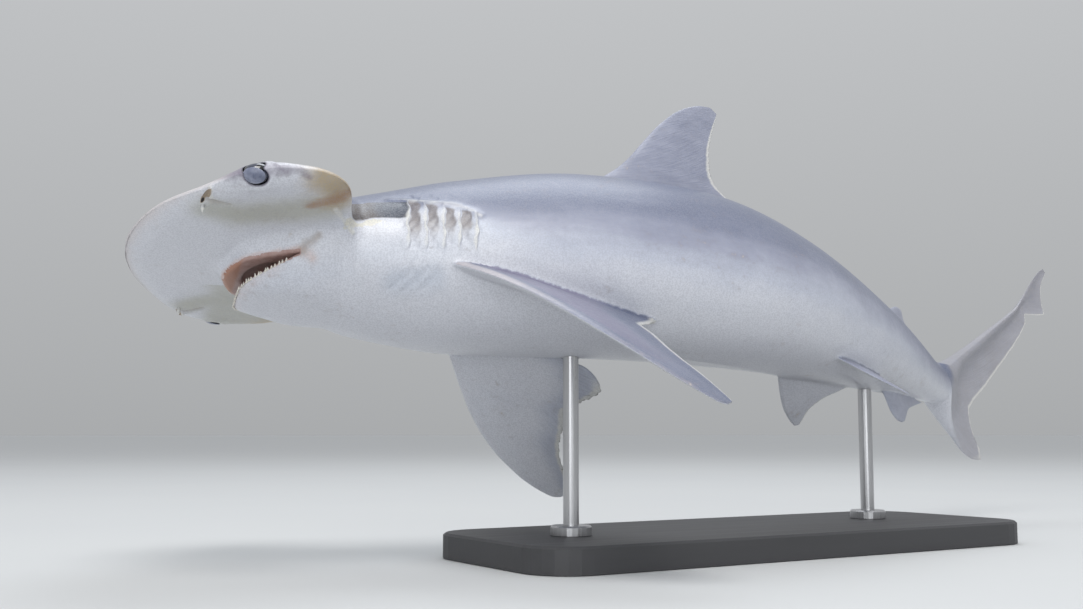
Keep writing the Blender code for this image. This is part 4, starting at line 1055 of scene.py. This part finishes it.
# Eyelids. A smooth grey-blue inner lid is drawn up over the front and lower part of
# each eye, as the living fish does when it opens its mouth.
LID_OVER = 0.00035
LID_THICK = 0.0005
LID_WIDEST = math.radians(43)
LID_CURL = 0.006
LID_MIDDLE = (-0.42, 0.62, -0.66)
LID_AROUND = 120
lid_rows = [(LID_WIDEST * k / 40, LID_OVER + LID_THICK) for k in range(1, 41)]
for bend in np.linspace(0, math.pi, 9)[1:-1]:
    lean = LID_WIDEST + LID_THICK / 2 / LID_CURL * math.sin(bend)
    lid_rows.append((lean, LID_OVER + LID_THICK / 2 * (1 + math.cos(bend))))
lid_rows += [(LID_WIDEST * k / 40, LID_OVER) for k in range(40, 0, -1)]
turn = np.arange(LID_AROUND)[:, None] / LID_AROUND * 2 * math.pi
for side, word in ((1, "left"), (-1, "right")):
    centre = np.array((EYE_AT[0], side * EYE_AT[1], EYE_AT[2]))
    middle = np.array(LID_MIDDLE) * (1, side, 1)
    middle = middle / np.linalg.norm(middle)
    across = np.cross(middle, (0, 0, 1.0))
    across = across / np.linalg.norm(across)
    around = np.cos(turn) * across + np.sin(turn) * np.cross(across, middle)
    points = [centre + (math.cos(lean) * middle + math.sin(lean) * around) * (np.array(EYE_RADII) + over)
              for lean, over in lid_rows]
    for over in (LID_OVER + LID_THICK, LID_OVER):
        points.append([centre + middle * (np.array(EYE_RADII) + over)])
    points = np.concatenate(points)
    lid_faces = tube(len(lid_rows), LID_AROUND), caps(len(lid_rows), LID_AROUND, len(points))
    lid = closed_piece("inner_lid_" + word, place(points), *lid_faces)
    finish = Finish("wet_eyelid_" + word)
    where = finish.node("ShaderNodeTexCoord", out=3)
    veins = finish.noise(where, 420.0, 4.0, 0.6)
    wash = finish.noise(where, 130.0, 2.0)
    colour = finish.blend(wash.step(0.35, 0.65), (0.110, 0.125, 0.190), (0.270, 0.290, 0.380))
    colour = finish.blend(veins.step(0.5, 0.75) * 0.6, colour, (0.070, 0.075, 0.125))
    finish.set(Base_Color=colour, Roughness=0.20 + veins * 0.18, Coat_Weight=0.35, Coat_Roughness=0.12,
               Normal=finish.relief(veins, 0.15, 0.0006))
    finish.onto(lid)
    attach(lid, "root")
    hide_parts("eyelid_" + word)

# Teeth. One row of small uneven cusps stands along the lower jaw, each a hard white
# point with its root sunk in the gum.
TEETH_A_SIDE = 22
TOOTH_TALL = 0.0015
TOOTH_WIDE = 0.0019
TOOTH_ROOT = 0.0012
TOOTH_FLAT = 0.62
TOOTH_SIDES = 10
TOOTH_LEVELS = 9


def lip_station(a):
    """Where the lower jaw's top meets the skin, found along the midline."""
    near = 0.059
    far = MOUTH_CORNER[0]
    for _ in range(30):
        middle = (near + far) / 2
        half = float(curve(BULGE_AT, BULGE_HALF, middle))
        deep = float(curve(BULGE_AT, BULGE_LOW, middle)) * math.sqrt(max(0.0, 1 - abs(a / half) ** 5))
        if deep > -lower_plane(middle):
            far = middle
        else:
            near = middle
    return (near + far) / 2


lip_a = np.linspace(0, 0.0375, 80)
lip_s = np.array([lip_station(a) for a in lip_a])
lip_way = np.concatenate([[0], np.cumsum(np.hypot(np.diff(lip_a), np.diff(lip_s)))])
tooth_points = []
tooth_quads = []
tooth_thirds = []
for k in range(-TEETH_A_SIDE, TEETH_A_SIDE + 1):
    luck = math.sin(k * 12.9898) * 43758.5453
    luck = luck - math.floor(luck)
    other = math.sin(k * 78.233 + 1) * 12543.123
    other = other - math.floor(other)
    run = min((abs(k) + 0.5 * (luck - 0.5)) / TEETH_A_SIDE, 1) * lip_way[-1] * 0.95
    a = math.copysign(float(np.interp(run, lip_way, lip_a)), k)
    s = lip_station(a)
    ahead = np.array((lip_station(a + 0.0012) - lip_station(a - 0.0012), 0.0024))
    ahead = ahead / np.linalg.norm(ahead)
    inward = np.array((ahead[1], -ahead[0]))
    foot = np.array((s, a)) + inward * (0.0018 + 0.0006 * other)
    tall = TOOTH_TALL * (0.55 + 0.75 * luck) * (1 - 0.3 * abs(k) / TEETH_A_SIDE)
    start = len(tooth_points)
    for level in range(TOOTH_LEVELS):
        up = level / (TOOTH_LEVELS - 1)
        wide = TOOTH_WIDE / 2 * (0.85 + 0.3 * other) * (1 - up) ** 0.85 + 0.00003
        lean = 0.0005 * up ** 1.6 * (1 if other > 0.3 else -0.6)
        shift = (other - 0.5) * 0.0008 * up
        for n in range(TOOTH_SIDES):
            way = 2 * math.pi * n / TOOTH_SIDES
            spot = foot + ahead * (wide * math.cos(way) + shift)
            spot = spot + inward * (TOOTH_FLAT * wide * math.sin(way) - lean)
            height = lower_plane(spot[0]) - TOOTH_ROOT + up * (tall + TOOTH_ROOT)
            tooth_points.append((spot[0], spot[1], height))
    tooth_quads.append(tube(TOOTH_LEVELS, TOOTH_SIDES, start))
    n = np.arange(TOOTH_SIDES)
    for first, turn in ((start, -1), (start + (TOOTH_LEVELS - 1) * TOOTH_SIDES, 1)):
        end = np.stack([np.full(TOOTH_SIDES - 2, first), first + n[1:-1], first + n[2:]], 1)
        tooth_thirds.append(end[:, ::turn])
tooth_faces = np.concatenate(tooth_quads), np.concatenate(tooth_thirds)
teeth = closed_piece("teeth", place(tooth_points), *tooth_faces)
finish = Finish("tooth_enamel")
where = finish.node("ShaderNodeTexCoord", out=3)
stain = finish.noise(where, 700.0, 3.0)
finish.set(Base_Color=finish.blend(stain, (0.780, 0.760, 0.700), (0.640, 0.590, 0.500)),
           Roughness=0.18 + stain * 0.14, Coat_Weight=0.3)
finish.onto(teeth)
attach(teeth, "root")

# Stand. A black painted board with rounded corners carries two brushed steel rods on
# round feet, which hold the casting under its belly and its tail stock. Its solids are
# shown as they are, and only their finishes are laid here.
finish = Finish("painted_board")
where = finish.node("ShaderNodeTexCoord", out=3)
fibre = finish.noise(finish.stretched(where, (8.0, 120.0, 120.0)), 1.0, 5.0)
finish.set(Base_Color=finish.blend(fibre, (0.035, 0.035, 0.038), (0.06, 0.06, 0.064)),
           Roughness=0.45 + fibre * 0.2, Normal=finish.relief(fibre, 0.2, 0.0008))
finish.onto(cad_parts["stand_base"])
finish = Finish("brushed_steel")
where = finish.node("ShaderNodeTexCoord", out=3)
brush = finish.noise(finish.stretched(where, (900.0, 900.0, 30.0)), 1.0, 3.0)
finish.set(Base_Color=finish.blend(brush, (0.42, 0.42, 0.43), (0.58, 0.58, 0.59)),
           Metallic=1.0, Roughness=0.22 + brush * 0.16)
for word in ("front", "rear"):
    finish.onto(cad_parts["stand_rod_" + word])

# Studio. A wide matt floor, a pale sky of even light and three soft lamps, with the
# camera in front of the shark on its left, low and looking slightly up.
floor_mesh = bpy.data.meshes.new("floor")
corners = [(x, y, -0.0005) for x, y in ((-60, -60), (60, -60), (60, 60), (-60, 60))]
floor_mesh.from_pydata(corners, [], [(0, 1, 2, 3)])
floor = bpy.data.objects.new("floor", floor_mesh)
bpy.context.scene.collection.objects.link(floor)
finish = Finish("pale_floor")
grit = finish.noise(finish.node("ShaderNodeTexCoord", out=3), 3.0, 3.0)
finish.set(Base_Color=finish.blend(grit, (0.58, 0.59, 0.60), (0.61, 0.62, 0.62)), Roughness=0.75 + grit * 0.1,
           Specular_IOR_Level=0.1)
finish.onto(floor)

sky = Finish("studio", bpy.data.worlds, "Background")
upward = sky.node("ShaderNodeSeparateXYZ", {}, {0: sky.node("ShaderNodeTexCoord")}, 2)
SKY_STOPS = [(0.0, (0.50, 0.512, 0.523)), (1.0, (0.98, 1.0, 1.03))]
sky.set(Color=sky.node("ShaderNodeValToRGB", {"stops": SKY_STOPS}, {0: upward}), Strength=0.80)
bpy.context.scene.world = sky.made


def lamp(name, at, aim, size, power, colour):
    light = bpy.data.lights.new(name, "AREA")
    light.size = size
    light.energy = power
    light.color = colour
    obj = bpy.data.objects.new(name, light)
    obj.location = at
    obj.rotation_euler = (Vector(aim) - Vector(at)).to_track_quat("-Z", "Y").to_euler()
    bpy.context.scene.collection.objects.link(obj)


lamp("key", (-0.8, -1.2, 2.6), (0, 0, 0.15), 1.2, 38, (1.0, 0.99, 0.97))
lamp("fill", (-1.3, -1.8, 0.55), (-0.1, 0, 0.15), 1.5, 15, (0.95, 0.98, 1.0))
lamp("rim", (0.6, 0.9, 2.6), (0, 0, 0.15), 1.4, 18, (0.9, 0.95, 1.0))

CAMERA_AT = (-0.5786, -0.6563, 0.0791)
CAMERA_HEADING = 32.0
CAMERA_TILT = 6.0
LENS = 40.89
camera = bpy.data.cameras.new("camera")
camera.sensor_width = 36
camera.lens = LENS
camera.clip_start = 0.01
camera_object = bpy.data.objects.new("camera", camera)
camera_object.location = CAMERA_AT
camera_object.rotation_euler = (math.radians(90 + CAMERA_TILT), 0, -math.radians(CAMERA_HEADING))
bpy.context.scene.collection.objects.link(camera_object)
bpy.context.scene.camera = camera_object
bpy.context.scene.view_settings.view_transform = "Standard"
